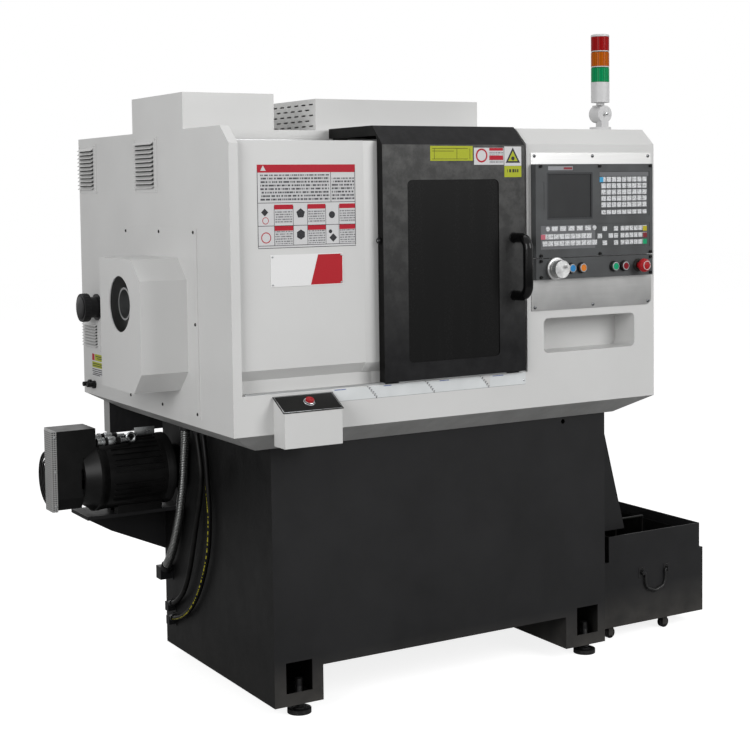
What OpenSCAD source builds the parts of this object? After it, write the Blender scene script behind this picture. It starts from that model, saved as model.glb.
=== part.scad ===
// Compact enclosed CNC lathe on a sheet-steel base with a roll-out chip and coolant car.
// X runs along the spindle to the right, Y from the operator to the back, Z up from the floor.
// Every dimension is written from the left front foot of the enclosure, and the whole machine is
// moved at the end so that the middle of its footprint is the origin.

/* [Enclosure] */
// Width of the sheet-metal enclosure
enc_w = 1364; // [1240:1:1500]
// Depth of the enclosure
enc_d = 1080; // [1060:1:1300]
// Height of the enclosure's lower edge above the floor
enc_z0 = 773; // [760:1:840]
// Height of the roof above the floor
enc_z1 = 1553; // [1540:1:1700]
// Sheet thickness of the panels
sheet = 3; // [2:0.5:4]
// Depth of the chamfer along the front of the roof
chamfer_y = 50; // [30:1:60]
// Height of the chamfer along the front of the roof
chamfer_z = 45; // [30:1:46]

/* [Door] */
// Gap between the closed door and the control cabinet
door_gap = 17; // [10:1:24]
// Width of the door
door_w = 456; // [420:1:462]
// How far the door's face stands in front of the enclosure
door_proud = 15; // [12:1:20]
// Depth of the door's folded edges
door_depth = 27; // [20:1:28]
// Travel of the door to the left
door_travel = 390; // [300:1:394]
// Clear width of the window
window_w = 293; // [200:1:320]
// Clear height of the window
window_h = 484; // [300:1:520]
// Length of the bow handle between its legs
handle_len = 180; // [120:1:220]

/* [Base] */
// How far the base's left side stands back from the enclosure's
base_x = 140; // [130:1:160]
// How far the base's right side stands back from the enclosure's
base_in_right = 123; // [110:1:140]
// How far the base's back stands in front of the enclosure's
base_in_back = 282; // [240:1:300]
// Height of the runners' lower face above the floor
foot_h = 35; // [28:1:60]
// Height of the opening between the runners above the floor
arch_z = 130; // [120:1:160]
// Width of each runner
runner_w = 145; // [120:1:160]
// Diameter of a levelling pad
pad_d = 65; // [50:1:80]

/* [Control] */
// Width of the controller panel
panel_w = 420; // [400:1:430]
// Height of the controller panel
panel_h = 260; // [240:1:264]
// How far the controller stands off its plate
panel_t = 22; // [16:1:30]
// Height of the lower button panel
aux_h = 59; // [56:1:66]
// Diameter of a push button's cap
button_d = 22; // [18:1:24]
// Travel of a push button
button_travel = 4; // [2:0.5:5]

/* [Spindle and drive] */
// Height of the spindle's axis above the floor
spindle_z = 1092; // [1080:1:1110]
// Distance of the spindle's axis from the front
spindle_y = 412; // [400:1:420]
// Bore through the spindle
spindle_bore = 36; // [20:1:56]
// Outer diameter of the spindle's tail tube
tail_d = 88; // [70:1:96]
// Outer diameter of the spindle in its bearings
journal_d = 80; // [70:1:90]
// Diameter of the motor's body
motor_d = 200; // [180:1:206]
// Length of the motor's body with its neck
motor_len = 265; // [220:1:280]
// Pitch diameter of the spindle's pulley
pulley_spindle_d = 170; // [140:1:180]
// Pitch diameter of the motor's pulley
pulley_motor_d = 85; // [80:1:110]

/* [Coolant car] */
// Width of the tank
tank_w = 442; // [400:1:460]
// Depth of the tank
tank_d = 540; // [480:1:560]
// Height of the tank's walls
tank_h = 203; // [160:1:205]
// Height of the collar above the tank
collar_h = 79; // [50:1:80]
// Diameter of a caster wheel
caster_d = 34; // [28:1:36]

/* [Hidden] */
$fn = 48;
eps = 0.01;
seat_gap = 0.3;            // clearance of curved and sliding faces between bodies
run_gap = 0.05;            // radial clearance of a running fit

// enclosure
frame_w = 25;              // width of the upright strip left of the fixed panel
cheek_x = enc_w - panel_w - 39;  // inner face of the control cabinet
ledge_z = enc_z0 + 102;    // top of the front ledge under the door
ledge_d = 62;              // depth of the ledge
panel_y = 16;              // face of the fixed front panel behind the front
panel_top = enc_z1 - 37;   // top of the fixed panel and of the lower roof step
door_x = cheek_x - door_gap - door_w;
step_y = 283;              // where the roof rises to its full height
tray_drop = 50;            // height of the sloping underside
tray_in_x = 94;            // inset of the underside at the ends
tray_in_y = 75;            // inset of the underside at front and back
tray_z = enc_z0 - tray_drop;

// base
base_y = tray_in_y + 3;
base_wall = 4;
pocket_w = 78;
pocket_h = 83;
pocket_z = 68;
base_x1 = enc_w - base_in_right;
base_y1 = enc_d - base_in_back;
foot_in_x = 92;
foot_in_y = 40;
feet = [for (x = [base_x + foot_in_x, base_x1 - 47]) for (y = [base_y + foot_in_y, base_y1 - foot_in_y])
  [x, y]];

// spindle line
motor_y = base_y1 - 96;
motor_z = tray_z - 138;
head_x0 = 245;
head_x1 = 452;
bearing_w = 32;
pulley_x0 = 166;
pulley_w = 44;
bulge_x = 135;
bulge_y0 = spindle_y - 145;
bulge_y1 = spindle_y + 145;
bulge_z0 = spindle_z - 232;
bulge_z1 = spindle_z + 121;
bulge_cut = 55;
bulge_hole_d = 150;
cover_y0 = spindle_y - 211;
cover_y1 = spindle_y + 284;
cover_z0 = spindle_z - 298;
cover_z1 = spindle_z + 201;
motor_x1 = base_x;
motor_x0 = motor_x1 - motor_len;
neck_len = 40;             // narrow end of the motor, clear of the hoses
neck_d = 130;
cowl_len = 114;
cowl_x0 = motor_x0 - cowl_len;
cowl_half = 53;
cowl_top = motor_z + 141;
cowl_low = motor_z - 85;
guard_len = 15;
guard_x0 = cowl_x0 - guard_len;
guard_d = 154;
bell_len = 38;             // tapered end of the motor's body inside the cowl's foot
reach_left = -guard_x0;

// control
plate_x0 = cheek_x + 14;
plate_x1 = enc_w - 12;
plate_z1 = enc_z1 - 69;
plate_t = 2;
panel_x0 = plate_x0;
panel_z1 = plate_z1 - 32;
panel_z0 = panel_z1 - panel_h;
aux_z0 = panel_z0 - 2 - aux_h;
plate_z0 = aux_z0 - 88;
panel_face = plate_t + panel_t;
aux_face = plate_t + panel_t;
aux_mid = aux_z0 + aux_h / 2;
pocket_x0 = cheek_x + 57;
pocket_x1 = enc_w - 74;
pocket_hi = plate_z0 - 22;
pocket_lo = pocket_hi - 98;
pocket_deep = 90;
wheel_x = panel_x0 + 66;
wheel_d = 50;
button_xs = [panel_x0 + 119, panel_x0 + 157, panel_x0 + 274, panel_x0 + 311];
stop_x = panel_x0 + 365;

// start box, a wedge with a slanted top
box_x0 = 112;
box_x1 = 277;
box_deep = 60;
box_z0 = enc_z0 - 30;
box_back = enc_z0 + 94;
box_front = enc_z0 + 60;
slant = atan((box_back - box_front) / box_deep);
start_x = box_x0 + 85;

// tower light
tower_x = enc_w - 108;
tower_y = 110;
tower_d = 54;
knuckle_z = enc_z1 + 47;

// machine slides
bed_x1 = 1010;
bed_y0 = 290;
bed_y1 = 700;
bed_top = enc_z0 + 107;
rail_w = 20;
rail_h = 16;
rail_ys = [330, 620];
saddle_x0 = 660;
saddle_x1 = 880;
saddle_z0 = bed_top + 6;
saddle_z1 = saddle_z0 + 44;
cross_z0 = saddle_z1 + 6;
cross_z1 = cross_z0 + 36;
cross_rail_xs = [700, 840];
gang_ys = [330, 400, 470];

// chip chute, tank and basket
chute_y0 = 200;
chute_y1 = 660;
chute_top_x = enc_w - 52;
chute_low_x = enc_w + 54;
tank_x = base_x1 + 21;
tank_y = 160;
tank_z = 40;
tank_x1 = tank_x + tank_w;
tank_top = tank_z + tank_h;
collar_x0 = tank_x + 62;
collar_x1 = tank_x1 - 14;
collar_top = tank_top + collar_h;
chute_z0 = collar_top + 9;
caster_xs = [tank_x + 86, tank_x1 - 139];
caster_ys = [tank_y + 30, tank_y + tank_d - 30];
casters = [for (x = caster_xs) for (y = caster_ys) [x, y]];
grip_x = tank_x1 - 200;
grip_z = tank_top - 47;

// middle of the footprint
reach_front = door_proud + 79;
mid_x = (tank_x1 - reach_left) / 2;
mid_y = (enc_d - reach_front) / 2;

// routes of the hoses, chosen by hand
conduit_route = [[122, 586, 723], [122, 586, 703], [122, 589, 672], [122, 598, 630], [122, 608, 569],
  [122, 622, 510], [122, 642, 451], [122, 672, 385], [121, 704, 326], [119, 730, 291], [118, 744, 273]];
black_route = [[124, 511, 723], [124, 511, 706], [124, 504, 680], [124, 493, 640], [124, 486, 588],
  [124, 500, 515], [124, 525, 450], [124, 555, 365], [124, 590, 282], [124, 632, 222], [124, 682, 186],
  [125, 710, 174], [126, 727, 168]];
striped_route = [[126, 470, 723], [126, 470, 706], [126, 464, 680], [126, 456, 640], [126, 448, 575],
  [126, 441, 520], [126, 440, 465], [126, 448, 400], [126, 464, 350], [126, 498, 285], [126, 540, 228],
  [126, 592, 180], [126, 645, 150], [126, 690, 134], [127, 708, 129.5], [127, 725, 126]];
conduit_d = 27;
black_d = 15;
striped_d = 14;

// ---- helpers ----

module placed() { translate([-mid_x, -mid_y, 0]) children(); }

module block(a, b) { translate(a) cube([b[0] - a[0], b[1] - a[1], b[2] - a[2]]); }

// children drawn in (y, z), swept from x0 to x1
module along_x(x0, x1) { translate([x0, 0, 0]) rotate([90, 0, 90]) linear_extrude(x1 - x0) children(); }

// children drawn in (x, z), swept from y0 to y1
module along_y(y0, y1) { translate([0, y1, 0]) rotate([90, 0, 0]) linear_extrude(y1 - y0) children(); }

module rod_x(x0, x1, y, z, d) { translate([x0, y, z]) rotate([0, 90, 0]) cylinder(h = x1 - x0, d = d); }

module rod_y(y0, y1, x, z, d) { translate([x, y0, z]) rotate([-90, 0, 0]) cylinder(h = y1 - y0, d = d); }

module rod_z(z0, z1, x, y, d) { translate([x, y, z0]) cylinder(h = z1 - z0, d = d); }

// rectangle with rounded corners, lower left corner at p
module rounded(p, w, h, r) {
  translate(p) {
    translate([r, 0]) square([w - 2 * r, h]);
    translate([0, r]) square([w, h - 2 * r]);
    for (x = [r, w - r]) for (y = [r, h - r]) translate([x, y]) circle(r);
  }
}

// a smooth curve through hand-picked points, steps pieces between two of them
function catmull(a, b, c, d, t) = 0.5 * ((2 * b) + (c - a) * t + (2 * a - 5 * b + 4 * c - d) * t * t
  + (3 * b - a - 3 * c + d) * t * t * t);
function smooth(p, steps) = let (n = len(p)) concat([for (i = [0 : n - 2]) for (k = [0 : steps - 1])
  catmull(p[max(i - 1, 0)], p[i], p[i + 1], p[min(i + 2, n - 1)], k / steps)], [p[n - 1]]);
function unit(v) = v / norm(v);
function heading(p, i) = unit(p[min(i + 1, len(p) - 1)] - p[max(i - 1, 0)]);

// a round tube swept along the points p, with its two ends cut square to the headings given
module tube(p, d, sides, first, last) {
  n = len(p);
  ts = concat([first], [for (i = [1 : n - 2]) heading(p, i)], [last]);
  rings = [for (i = [0 : n - 1]) let (t = ts[i], u = unit(cross(t, [1, -1, 0])), v = cross(t, u))
    for (k = [0 : sides - 1]) p[i] + d / 2 * (cos(360 * k / sides) * u + sin(360 * k / sides) * v)];
  skin = [for (i = [0 : n - 2]) for (k = [0 : sides - 1]) let (a = i * sides + k,
    b = i * sides + (k + 1) % sides) [a, a + sides, b + sides, b]];
  ends = [[for (k = [0 : sides - 1]) k], [for (k = [sides - 1 : -1 : 0]) (n - 1) * sides + k]];
  polyhedron(rings, concat(skin, ends), convexity = 6);
}

// ---- base ----

// the cabinet is a box between the underside and the runners' tops
module base_cabinet() color("#2b2c2e") placed() difference() {
  block([base_x, base_y, arch_z], [base_x1, base_y1, tray_z]);
  block([base_x + base_wall, base_y + base_wall, arch_z + base_wall],
    [base_x1 - base_wall, base_y1 - base_wall, tray_z + eps]);
  for (x = [base_x, base_x1 - runner_w]) block([x + base_wall, base_y + base_wall, arch_z - 1],
    [x + runner_w - base_wall, base_y1 - base_wall, arch_z + base_wall + 1]);
  for (f = feet) foot_pocket(f);
  rod_x(base_x - 1, base_x + base_wall + 1, motor_y, motor_z, 90);
  rod_y(base_y - 1, base_y + base_wall + 1, base_x1 - 153, tray_z - 14, 14);
}

// spanner pocket beside a levelling foot, cut through the end wall
module foot_pocket(f) {
  end_y = f[1] < base_y + 200 ? base_y : base_y1;
  along_y(end_y - base_wall - 2, end_y + base_wall + 2)
    translate([f[0] - pocket_w / 2 - 19, pocket_z]) square([pocket_w, pocket_h]);
}

// two hollow runners that stand on the levelling feet
module base_runners() color("#2b2c2e") placed() difference() {
  for (x = [base_x, base_x1 - runner_w]) difference() {
    block([x, base_y, foot_h], [x + runner_w, base_y1, arch_z]);
    block([x + base_wall, base_y + base_wall, foot_h + 6],
      [x + runner_w - base_wall, base_y1 - base_wall, arch_z + 1]);
  }
  for (f = feet) {
    foot_pocket(f);
    rod_z(foot_h - 1, foot_h + 8, f[0], f[1], 20.6);
  }
}

// shelf and gusset welded to the base's left side under the motor
module motor_bracket() color("#2b2c2e") placed() {
  shelf_top = motor_z - motor_d / 2 - 12;
  shelf_t = 10;
  gusset_y = base_y1 - 6;
  difference() {
    block([motor_x0 - 25, motor_y - 43, shelf_top - shelf_t], [base_x, base_y1, shelf_top]);
    for (x = [motor_x0 + 85, motor_x1 - 95]) for (y = [motor_y - 30, motor_y + 30])
      translate([x - 9, y, shelf_top - shelf_t - 1]) slot_hole(shelf_t + 2);
  }
  along_y(gusset_y, base_y1) polygon([[base_x, shelf_top - 153], [base_x - 172, shelf_top - 78],
    [motor_x0 - 25, shelf_top - shelf_t], [motor_x0 - 25, shelf_top - 1], [base_x, shelf_top - 1]]);
}

module slot_hole(h) {
  cylinder(h = h, d = 13);
  translate([18, 0, 0]) cylinder(h = h, d = 13);
  translate([0, -6.5, 0]) cube([18, 13, h]);
}

module levelling_feet() color("#1b1b1c") placed() for (f = feet) translate([f[0], f[1], 0]) {
  cylinder(h = 12, d = pad_d);
  translate([0, 0, 12]) cylinder(h = 5, d = pad_d * 0.55);
  translate([0, 0, 17]) cylinder(h = foot_h + 40, d = 20);
  translate([0, 0, foot_h - 12]) cylinder(h = 11.7, d = 32, $fn = 6);
  translate([0, 0, foot_h + 6 + seat_gap]) cylinder(h = 14, d = 32, $fn = 6);
}

// ---- drip tray under the enclosure ----

module tray_solid(t) {
  x1 = enc_w - tray_in_x;
  y1 = enc_d - tray_in_y;
  intersection() {
    along_y(0, enc_d) polygon([[t, enc_z0], [tray_in_x + t, tray_z + t], [x1 - t, tray_z + t],
      [enc_w - t, enc_z0]]);
    along_x(0, enc_w) polygon([[t, enc_z0], [tray_in_y + t, tray_z + t], [y1 - t, tray_z + t],
      [enc_d - t, enc_z0]]);
  }
}

module drip_tray() color("#4a4b4d") placed() {
  tray_pan();
  // cable duct across the back of the sloping underside
  duct_y = enc_d - 52;
  along_x(60, 900) polygon([[duct_y, tray_z - 78], [duct_y + 48, tray_z - 78],
    [duct_y + 48, enc_z0 - 4 * tray_drop / tray_in_y + eps], [duct_y, enc_z0 - 52 * tray_drop / tray_in_y + eps]]);
}

module tray_pan() difference() {
  tray_solid(0);
  translate([0, 0, eps]) tray_solid(sheet);
  block([base_x + 16, spindle_y + 118, tray_z - 1], [base_x + 110, motor_y + 48, tray_z + 20]);
  block([base_x1 + 4, chute_y0 + 8, tray_z - 1], [chute_top_x - 8, chute_y1 - 8, enc_z0 - 1]);
}

// ---- enclosure panels ----

// side view of the enclosure with its front roof chamfer
module side_outline(t) {
  polygon([[t, enc_z0 + t], [t, enc_z1 - chamfer_z - t / 2], [chamfer_y + t / 2, enc_z1 - t],
    [enc_d - t, enc_z1 - t], [enc_d - t, enc_z0 + t]]);
}

module left_end_panel() color("#dfe0e0") placed() difference() {
  union() {
    along_x(0, sheet) side_outline(0);
    along_x(0, frame_w) difference() {
      side_outline(0);
      side_outline(sheet);
      block2(step_y, enc_z0 - 1, enc_d + 1, enc_z1 + 1);
      block2(sheet + 20, enc_z0 - 1, enc_d + 1, enc_z1 - 60);
    }
    along_x(frame_w - sheet, frame_w) difference() {
      side_outline(0);
      block2(step_y, enc_z0 - 1, enc_d + 1, enc_z1 + 1);
      block2(ledge_d, enc_z0 - 1, enc_d + 1, panel_top - sheet);
      block2(sheet, enc_z0 - 1, enc_d + 1, ledge_z - sheet);
    }
  }
  block([-1, cover_y0 + 25, cover_z0 + 25], [sheet + 1, cover_y1 - 25, cover_z1 - 25]);
  for (l = louvres) block([-1, l[0] + 22, l[2] + 14], [sheet + 1, l[1] - 22, l[3] - 14]);
}

module block2(y0, z0, y1, z1) { translate([y0, z0]) square([y1 - y0, z1 - z0]); }

// right side and back in one folded sheet, with vents low in the back
module outer_panels() color("#dfe0e0") placed() {
  along_x(enc_w - sheet, enc_w) side_outline(0);
  difference() {
    block([sheet, enc_d - sheet, enc_z0], [enc_w - sheet + eps, enc_d, enc_z1]);
    for (k = [0 : 5]) along_y(enc_d - sheet - 1, enc_d + 1)
      rounded([enc_w - 364, enc_z1 - 373 + 22 * k], 180, 8, 3.9);
  }
}

// roof: full height at the back, a step down for the door's wrap-over top in front
module roof_panel() color("#dfe0e0") placed() {
  block([sheet, step_y, enc_z1 - sheet], [enc_w - sheet, enc_d - sheet, enc_z1]);
  block([frame_w - sheet, step_y, panel_top - sheet], [cheek_x + sheet, step_y + sheet, enc_z1]);
  block([frame_w, ledge_d, panel_top - sheet], [cheek_x, step_y, panel_top]);
}

// one folded front: left of it the strip belongs to the end panel, below it the apron with the
// ledge, and right of it the control cabinet's face with its chamfer, cheek and hand pocket
module front_frame() color("#dfe0e0") placed() {
  difference() {
    union() {
      block([frame_w, 0, enc_z0], [cheek_x + eps, sheet, ledge_z]);
      block([frame_w, 0, ledge_z - sheet], [cheek_x, ledge_d, ledge_z]);
      along_x(cheek_x, enc_w - sheet) difference() {
        side_outline(0);
        side_outline(sheet);
        block2(step_y, enc_z0 - 1, enc_d + 1, enc_z1 + 1);
        block2(sheet, enc_z0 - 1, enc_d + 1, enc_z1 - chamfer_z - 5);
      }
      along_x(cheek_x, cheek_x + sheet) difference() {
        side_outline(0);
        block2(step_y, enc_z0 - 1, enc_d + 1, enc_z1 + 1);
        block2(sheet, enc_z0 - 1, enc_d + 1, ledge_z - sheet);
      }
      block([cheek_x - 26, ledge_d - 16, ledge_z - sheet], [cheek_x + eps, ledge_d - 13, panel_top - sheet]);
      along_y(0, pocket_deep) rounded([pocket_x0 - sheet, pocket_lo - sheet],
        pocket_x1 - pocket_x0 + 2 * sheet, pocket_hi - pocket_lo + 2 * sheet, 15 + sheet);
    }
    along_y(-1, pocket_deep - sheet) rounded([pocket_x0, pocket_lo], pocket_x1 - pocket_x0,
      pocket_hi - pocket_lo, 15);
  }
}

// fixed front panel left of the door, a tray with a chamfered right end and a stepped foot
module panel_block(t) {
  foot = 28;
  right = door_x - 8;
  bevel = 32;
  foot_z = ledge_z + 61;
  intersection() {
    along_x(frame_w + seat_gap + t, right - t) polygon([[panel_y + t, panel_top - seat_gap - t],
      [panel_y + t, foot_z + t / 3], [panel_y + foot + t, foot_z - foot + t / 3],
      [panel_y + foot + t, ledge_z + seat_gap],
      [ledge_d - 2, ledge_z + seat_gap], [ledge_d - 2, panel_top - seat_gap - t]]);
    translate([0, 0, ledge_z]) linear_extrude(panel_top - ledge_z) polygon([[frame_w, panel_y],
      [right - bevel - t * 1.5, panel_y], [right - t * 1.5, panel_y + foot], [right, ledge_d],
      [frame_w, ledge_d]]);
  }
}

// the flange at the right end reaches behind the closed door
module front_panel() color("#dfe0e0") placed() {
  difference() {
    panel_block(0);
    translate([0, eps, -eps]) panel_block(sheet);
  }
  block([door_x - 12, ledge_d - 16, ledge_z + seat_gap], [door_x + 42, ledge_d - 13, panel_top - seat_gap]);
}

module cover_outline(t) {
  polygon([[bulge_y0 + t, bulge_z0 + bulge_cut + t / 2], [bulge_y0 + bulge_cut + t / 2, bulge_z0 + t],
    [bulge_y1 - t, bulge_z0 + t], [bulge_y1 - t, bulge_z1 - t], [bulge_y0 + bulge_cut + t / 2, bulge_z1 - t],
    [bulge_y0 + t, bulge_z1 - bulge_cut - t / 2]]);
}

module end_cover() color("#dcdddd") placed() difference() {
  union() {
    block([-sheet, cover_y0, cover_z0], [0, cover_y1, cover_z1]);
    along_x(-bulge_x, 0) cover_outline(0);
  }
  along_x(-bulge_x + sheet, 1) cover_outline(sheet);
  rod_x(-bulge_x - 1, -bulge_x + sheet + 1, spindle_y, spindle_z, bulge_hole_d);
}

// louvred plates: y from, y to, z from, z to and number of louvres
louvres = [[456, 616, enc_z1 - 165, enc_z1 - 13, 11], [enc_d - 153, enc_d - 10, enc_z1 - 165, enc_z1 - 18, 11],
  [enc_d - 153, enc_d - 14, enc_z0 + 139, enc_z0 + 231, 8]];

module louvre(y0, y1, z, pitch) {
  along_y(y0, y1) polygon([[0, z + pitch * 0.82], [-9, z + pitch * 0.24], [-9, z + pitch * 0.10],
    [-7.6, z + pitch * 0.10], [0, z + pitch * 0.62]]);
}

module louvre_plates() color("#cfd0d0") placed() for (l = louvres) {
  pitch = (l[3] - l[2] - 20) / l[4];
  difference() {
    block([-2, l[0], l[2]], [0, l[1], l[3]]);
    for (k = [0 : l[4] - 1]) block([-3, l[0] + 24, l[2] + 11 + pitch * k],
      [1, l[1] - 8, l[2] + 11 + pitch * (k + 0.55)]);
  }
  for (k = [0 : l[4] - 1]) translate([-2, 0, 0]) louvre(l[0] + 22, l[1] - 6, l[2] + 10 + pitch * k, pitch);
}

// capped outlet and two hose tails low on the left side, and the fittings that hold the hoses
module side_fittings() color("#1a1a1b") placed() {
  outlet_y = enc_d - 130;
  outlet_z = enc_z0 + 272;
  rod_x(-4, 0, outlet_y, outlet_z, 80);
  rod_x(-30, -4 + eps, outlet_y, outlet_z, 63);
  rod_x(-52, -30 + eps, outlet_y, outlet_z, 84);
  for (y = [enc_d - 95, enc_d - 60]) {
    rod_x(-8, 0, y, enc_z0 + 33, 24);
    rod_x(-26, -8 + eps, y, enc_z0 + 33, 14);
  }
  hose_gland(conduit_route[0], conduit_d);
  hose_gland(black_route[0], black_d);
  hose_gland(striped_route[0], striped_d);
  hose_elbow(conduit_route, conduit_d);
  hose_elbow(black_route, black_d);
  hose_elbow(striped_route, striped_d);
}

// gland under the tray that a hose comes straight out of
module hose_gland(p, d) difference() {
  union() {
    rod_z(tray_z - 6, tray_z, p[0], p[1], d + 8);
    rod_z(tray_z - 16, tray_z - 5, p[0], p[1], d + 5);
  }
  rod_z(tray_z - 17, tray_z + 1, p[0], p[1], d + 1);
}

// box elbow that takes the end of a hose into the base's side
module hose_elbow(route, d) {
  last = route[len(route) - 1];
  way = unit(last - route[len(route) - 2]);
  h = d / 2 + 3.5;
  difference() {
    union() {
      block([last[0] - h, last[1] - 1, last[2] - 2 * h], [base_x - 3, last[1] + 2 * h, last[2] + 4]);
      block([base_x - 3, last[1] - 5, last[2] - 2 * h - 4], [base_x, last[1] + 2 * h + 4, last[2] + 8]);
      translate(last - way * 13) rotate([0, acos(way[2]), atan2(way[1], way[0])])
        cylinder(h = 16, d = d + 6);
    }
    translate(last - way * 14) rotate([0, acos(way[2]), atan2(way[1], way[0])])
      cylinder(h = 14 + seat_gap, d = d + 1);
  }
}

// connection box at the left and the wider vented box with slots in its ends
module roof_boxes() color("#d8d9d9") placed() {
  difference() {
    block([sheet, 285, enc_z1], [271, 640, enc_z1 + 97]);
    block([2 * sheet, 285 + sheet, enc_z1 - 1], [271 - sheet, 640 - sheet, enc_z1 + 97 - sheet]);
  }
  difference() {
    block([418, 320, enc_z1], [962, 600, enc_z1 + 89]);
    block([418 + sheet, 320 + sheet, enc_z1 - 1], [962 - sheet, 600 - sheet, enc_z1 + 89 - sheet]);
    for (row = [0 : 4]) for (k = [0 : 5]) {
      y = 334 + 44 * k + (row % 2) * 22;
      if (y + 26 < 592) for (x = [417, 958])
        along_x(x, x + 5) rounded([y, enc_z1 + 12 + 15 * row], 26, 4, 1.9);
    }
  }
}

// ---- control station ----

module control_plate() color("#c9cccd") placed() difference() {
  along_y(-plate_t, 0) {
    translate([plate_x0, plate_z0]) square([plate_x1 - plate_x0 - 20, plate_z1 - plate_z0]);
    translate([plate_x0, plate_z0 + 20]) square([plate_x1 - plate_x0, plate_z1 - plate_z0 - 20]);
    translate([plate_x1 - 20, plate_z0 + 20]) circle(20);
  }
  for (x = [plate_x0 + 12, (plate_x0 + plate_x1) / 2, plate_x1 - 12]) for (z = [plate_z0 + 10, plate_z1 - 9])
    rod_y(-plate_t - 1, 1, x, z, 5);
}

screen_x0 = panel_x0 + 38;
screen_w = 162;
screen_z0 = panel_z1 - 155;
screen_h = 132;
keys_z = panel_z1 - 44;    // top row beside the screen
pads_z = panel_z0 + 80;    // top row under the screen

module controller_panel() color("#3c3f42") placed() difference() {
  block([panel_x0, -panel_face, panel_z0], [panel_x0 + panel_w, -plate_t, panel_z1]);
  along_y(-panel_face - 1, -panel_face + 5) rounded([screen_x0, screen_z0], screen_w, screen_h, 4);
  along_y(-panel_face - 1, -panel_face + 1.6) rounded([panel_x0 + 224, keys_z - 106], 184, 129, 3);
  along_y(-panel_face - 1, -panel_face + 1.6) rounded([panel_x0 + 16, pads_z - 59], 394, 70, 3);
  along_y(-panel_face - 1, -panel_face + 1.2) rounded([panel_x0 + 3, keys_z - 83], 26, 78, 3);
}

module screen_glass() color("#15181b") placed()
  along_y(-panel_face + 3, -panel_face + 5) rounded([screen_x0, screen_z0], screen_w, screen_h, 4);

// keys stand on the floors of the two shallow recesses
module key(x, z, w, h) {
  block([x - w / 2, -panel_face - 0.6, z - h / 2], [x + w / 2, -panel_face + 1.6, z + h / 2]);
}

module panel_keys() color("#c8ccd0") placed() {
  for (c = [0 : 8]) for (r = [0 : 4]) key(panel_x0 + 239 + 18.8 * c, keys_z - 18 * r, 15, 14);
  for (c = [0 : 8]) key(panel_x0 + 239 + 18.8 * c, keys_z - 93, 15, 12);
  for (c = [0 : 4]) key(panel_x0 + 65 + 29.3 * c, pads_z, 20, 13);
  for (x = [41, 206]) rod_y(-panel_face - 0.6, -panel_face + 1.6, panel_x0 + x, pads_z, 13);
  for (c = [0 : 8]) key(panel_x0 + 31 + 19.4 * c, pads_z - 22, 17, 14);
  for (c = [0 : 9]) key(panel_x0 + 31 + 19.4 * c, pads_z - 41, 17, 14);
  for (p = [[243, -4], [225, -24], [265, -24], [243, -44]]) key(panel_x0 + p[0], pads_z + p[1], 15, 13);
  for (r = [0 : 2]) key(panel_x0 + 284, pads_z - 4 - 20 * r, 14, 13);
  for (c = [0 : 4]) for (r = [0 : 2]) key(panel_x0 + 308 + 16.2 * c, pads_z - 4 - 20 * r, 13, 13);
  for (r = [0 : 2]) key(panel_x0 + 390, pads_z - 4 - 20 * r, 16, 14);
}

module aux_panel() color("#34373a") placed() difference() {
  block([panel_x0, -aux_face, aux_z0], [panel_x0 + panel_w, -plate_t, aux_z0 + aux_h]);
  for (x = button_xs) rod_y(-aux_face - 1, -plate_t - 6, x, aux_mid, button_d + 2 * run_gap);
  rod_y(-aux_face - 1, -plate_t - 6, stop_x, aux_mid, 16 + 2 * run_gap);
  rod_y(-aux_face - 1, -plate_t - 6, wheel_x, aux_mid, 8 + 2 * run_gap);
}

// hand pulse wheel: knurled rim, hub shaft and a small crank knob
module handwheel() color("#d9dadb") placed() difference() {
  union() {
    rod_y(-aux_face - 34, -aux_face - 12, wheel_x, aux_mid, wheel_d);
    rod_y(-aux_face - 12, -aux_face - 1, wheel_x, aux_mid, wheel_d * 0.72);
    rod_y(-aux_face - 1 - eps, -plate_t - 7, wheel_x, aux_mid, 8);
    rod_y(-aux_face - 44, -aux_face - 34, wheel_x + 13, aux_mid + 8, 9);
  }
  for (a = [0 : 15 : 345]) translate([wheel_x, -aux_face - 35, aux_mid]) rotate([0, a, 0])
    translate([wheel_d / 2 + 0.6, 0, 0]) rotate([-90, 0, 0]) cylinder(h = 24, d = 3);
}

module push_button(x) {
  rod_y(-aux_face - 12, -plate_t - 6 - button_travel - 1, x, aux_mid, button_d);
}

module blue_button() color("#2f6fa8") placed() push_button(button_xs[0]);
module orange_button() color("#d0763a") placed() push_button(button_xs[1]);
module green_button() color("#2f9a5d") placed() push_button(button_xs[2]);
module red_button() color("#b53a36") placed() push_button(button_xs[3]);

module stop_button() color("#c0302c") placed() {
  translate([stop_x, -aux_face - 34, aux_mid]) rotate([-90, 0, 0]) rotate_extrude() polygon([[0, -6], [8, -5.4],
    [14, -3.2], [18, 0], [19.5, 4], [19.5, 9], [17, 14], [11, 16], [0, 16]]);
  rod_y(-aux_face - 19, -plate_t - 6 - button_travel - 1, stop_x, aux_mid, 16);
}

// ---- start box on the apron ----

module box_side(t) {
  polygon([[0, box_z0 + t], [-box_deep + t, box_z0 + t], [-box_deep + t, box_front - t * 1.2],
    [0, box_back - t * 1.2]]);
}

module slanted() {
  translate([start_x, -box_deep / 2, (box_back + box_front) / 2]) rotate([slant, 0, 0]) children();
}

module start_box() color("#dfe0e0") placed() difference() {
  along_x(box_x0, box_x1) box_side(0);
  along_x(box_x0 + sheet, box_x1 - sheet) box_side(sheet);
  slanted() translate([0, 0, -20]) cylinder(h = 40, d = button_d + 2 * run_gap);
}

module start_button() color("#b8302e") placed() slanted()
  translate([0, 0, -14]) cylinder(h = 26, d = button_d);

// ---- door ----

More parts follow.
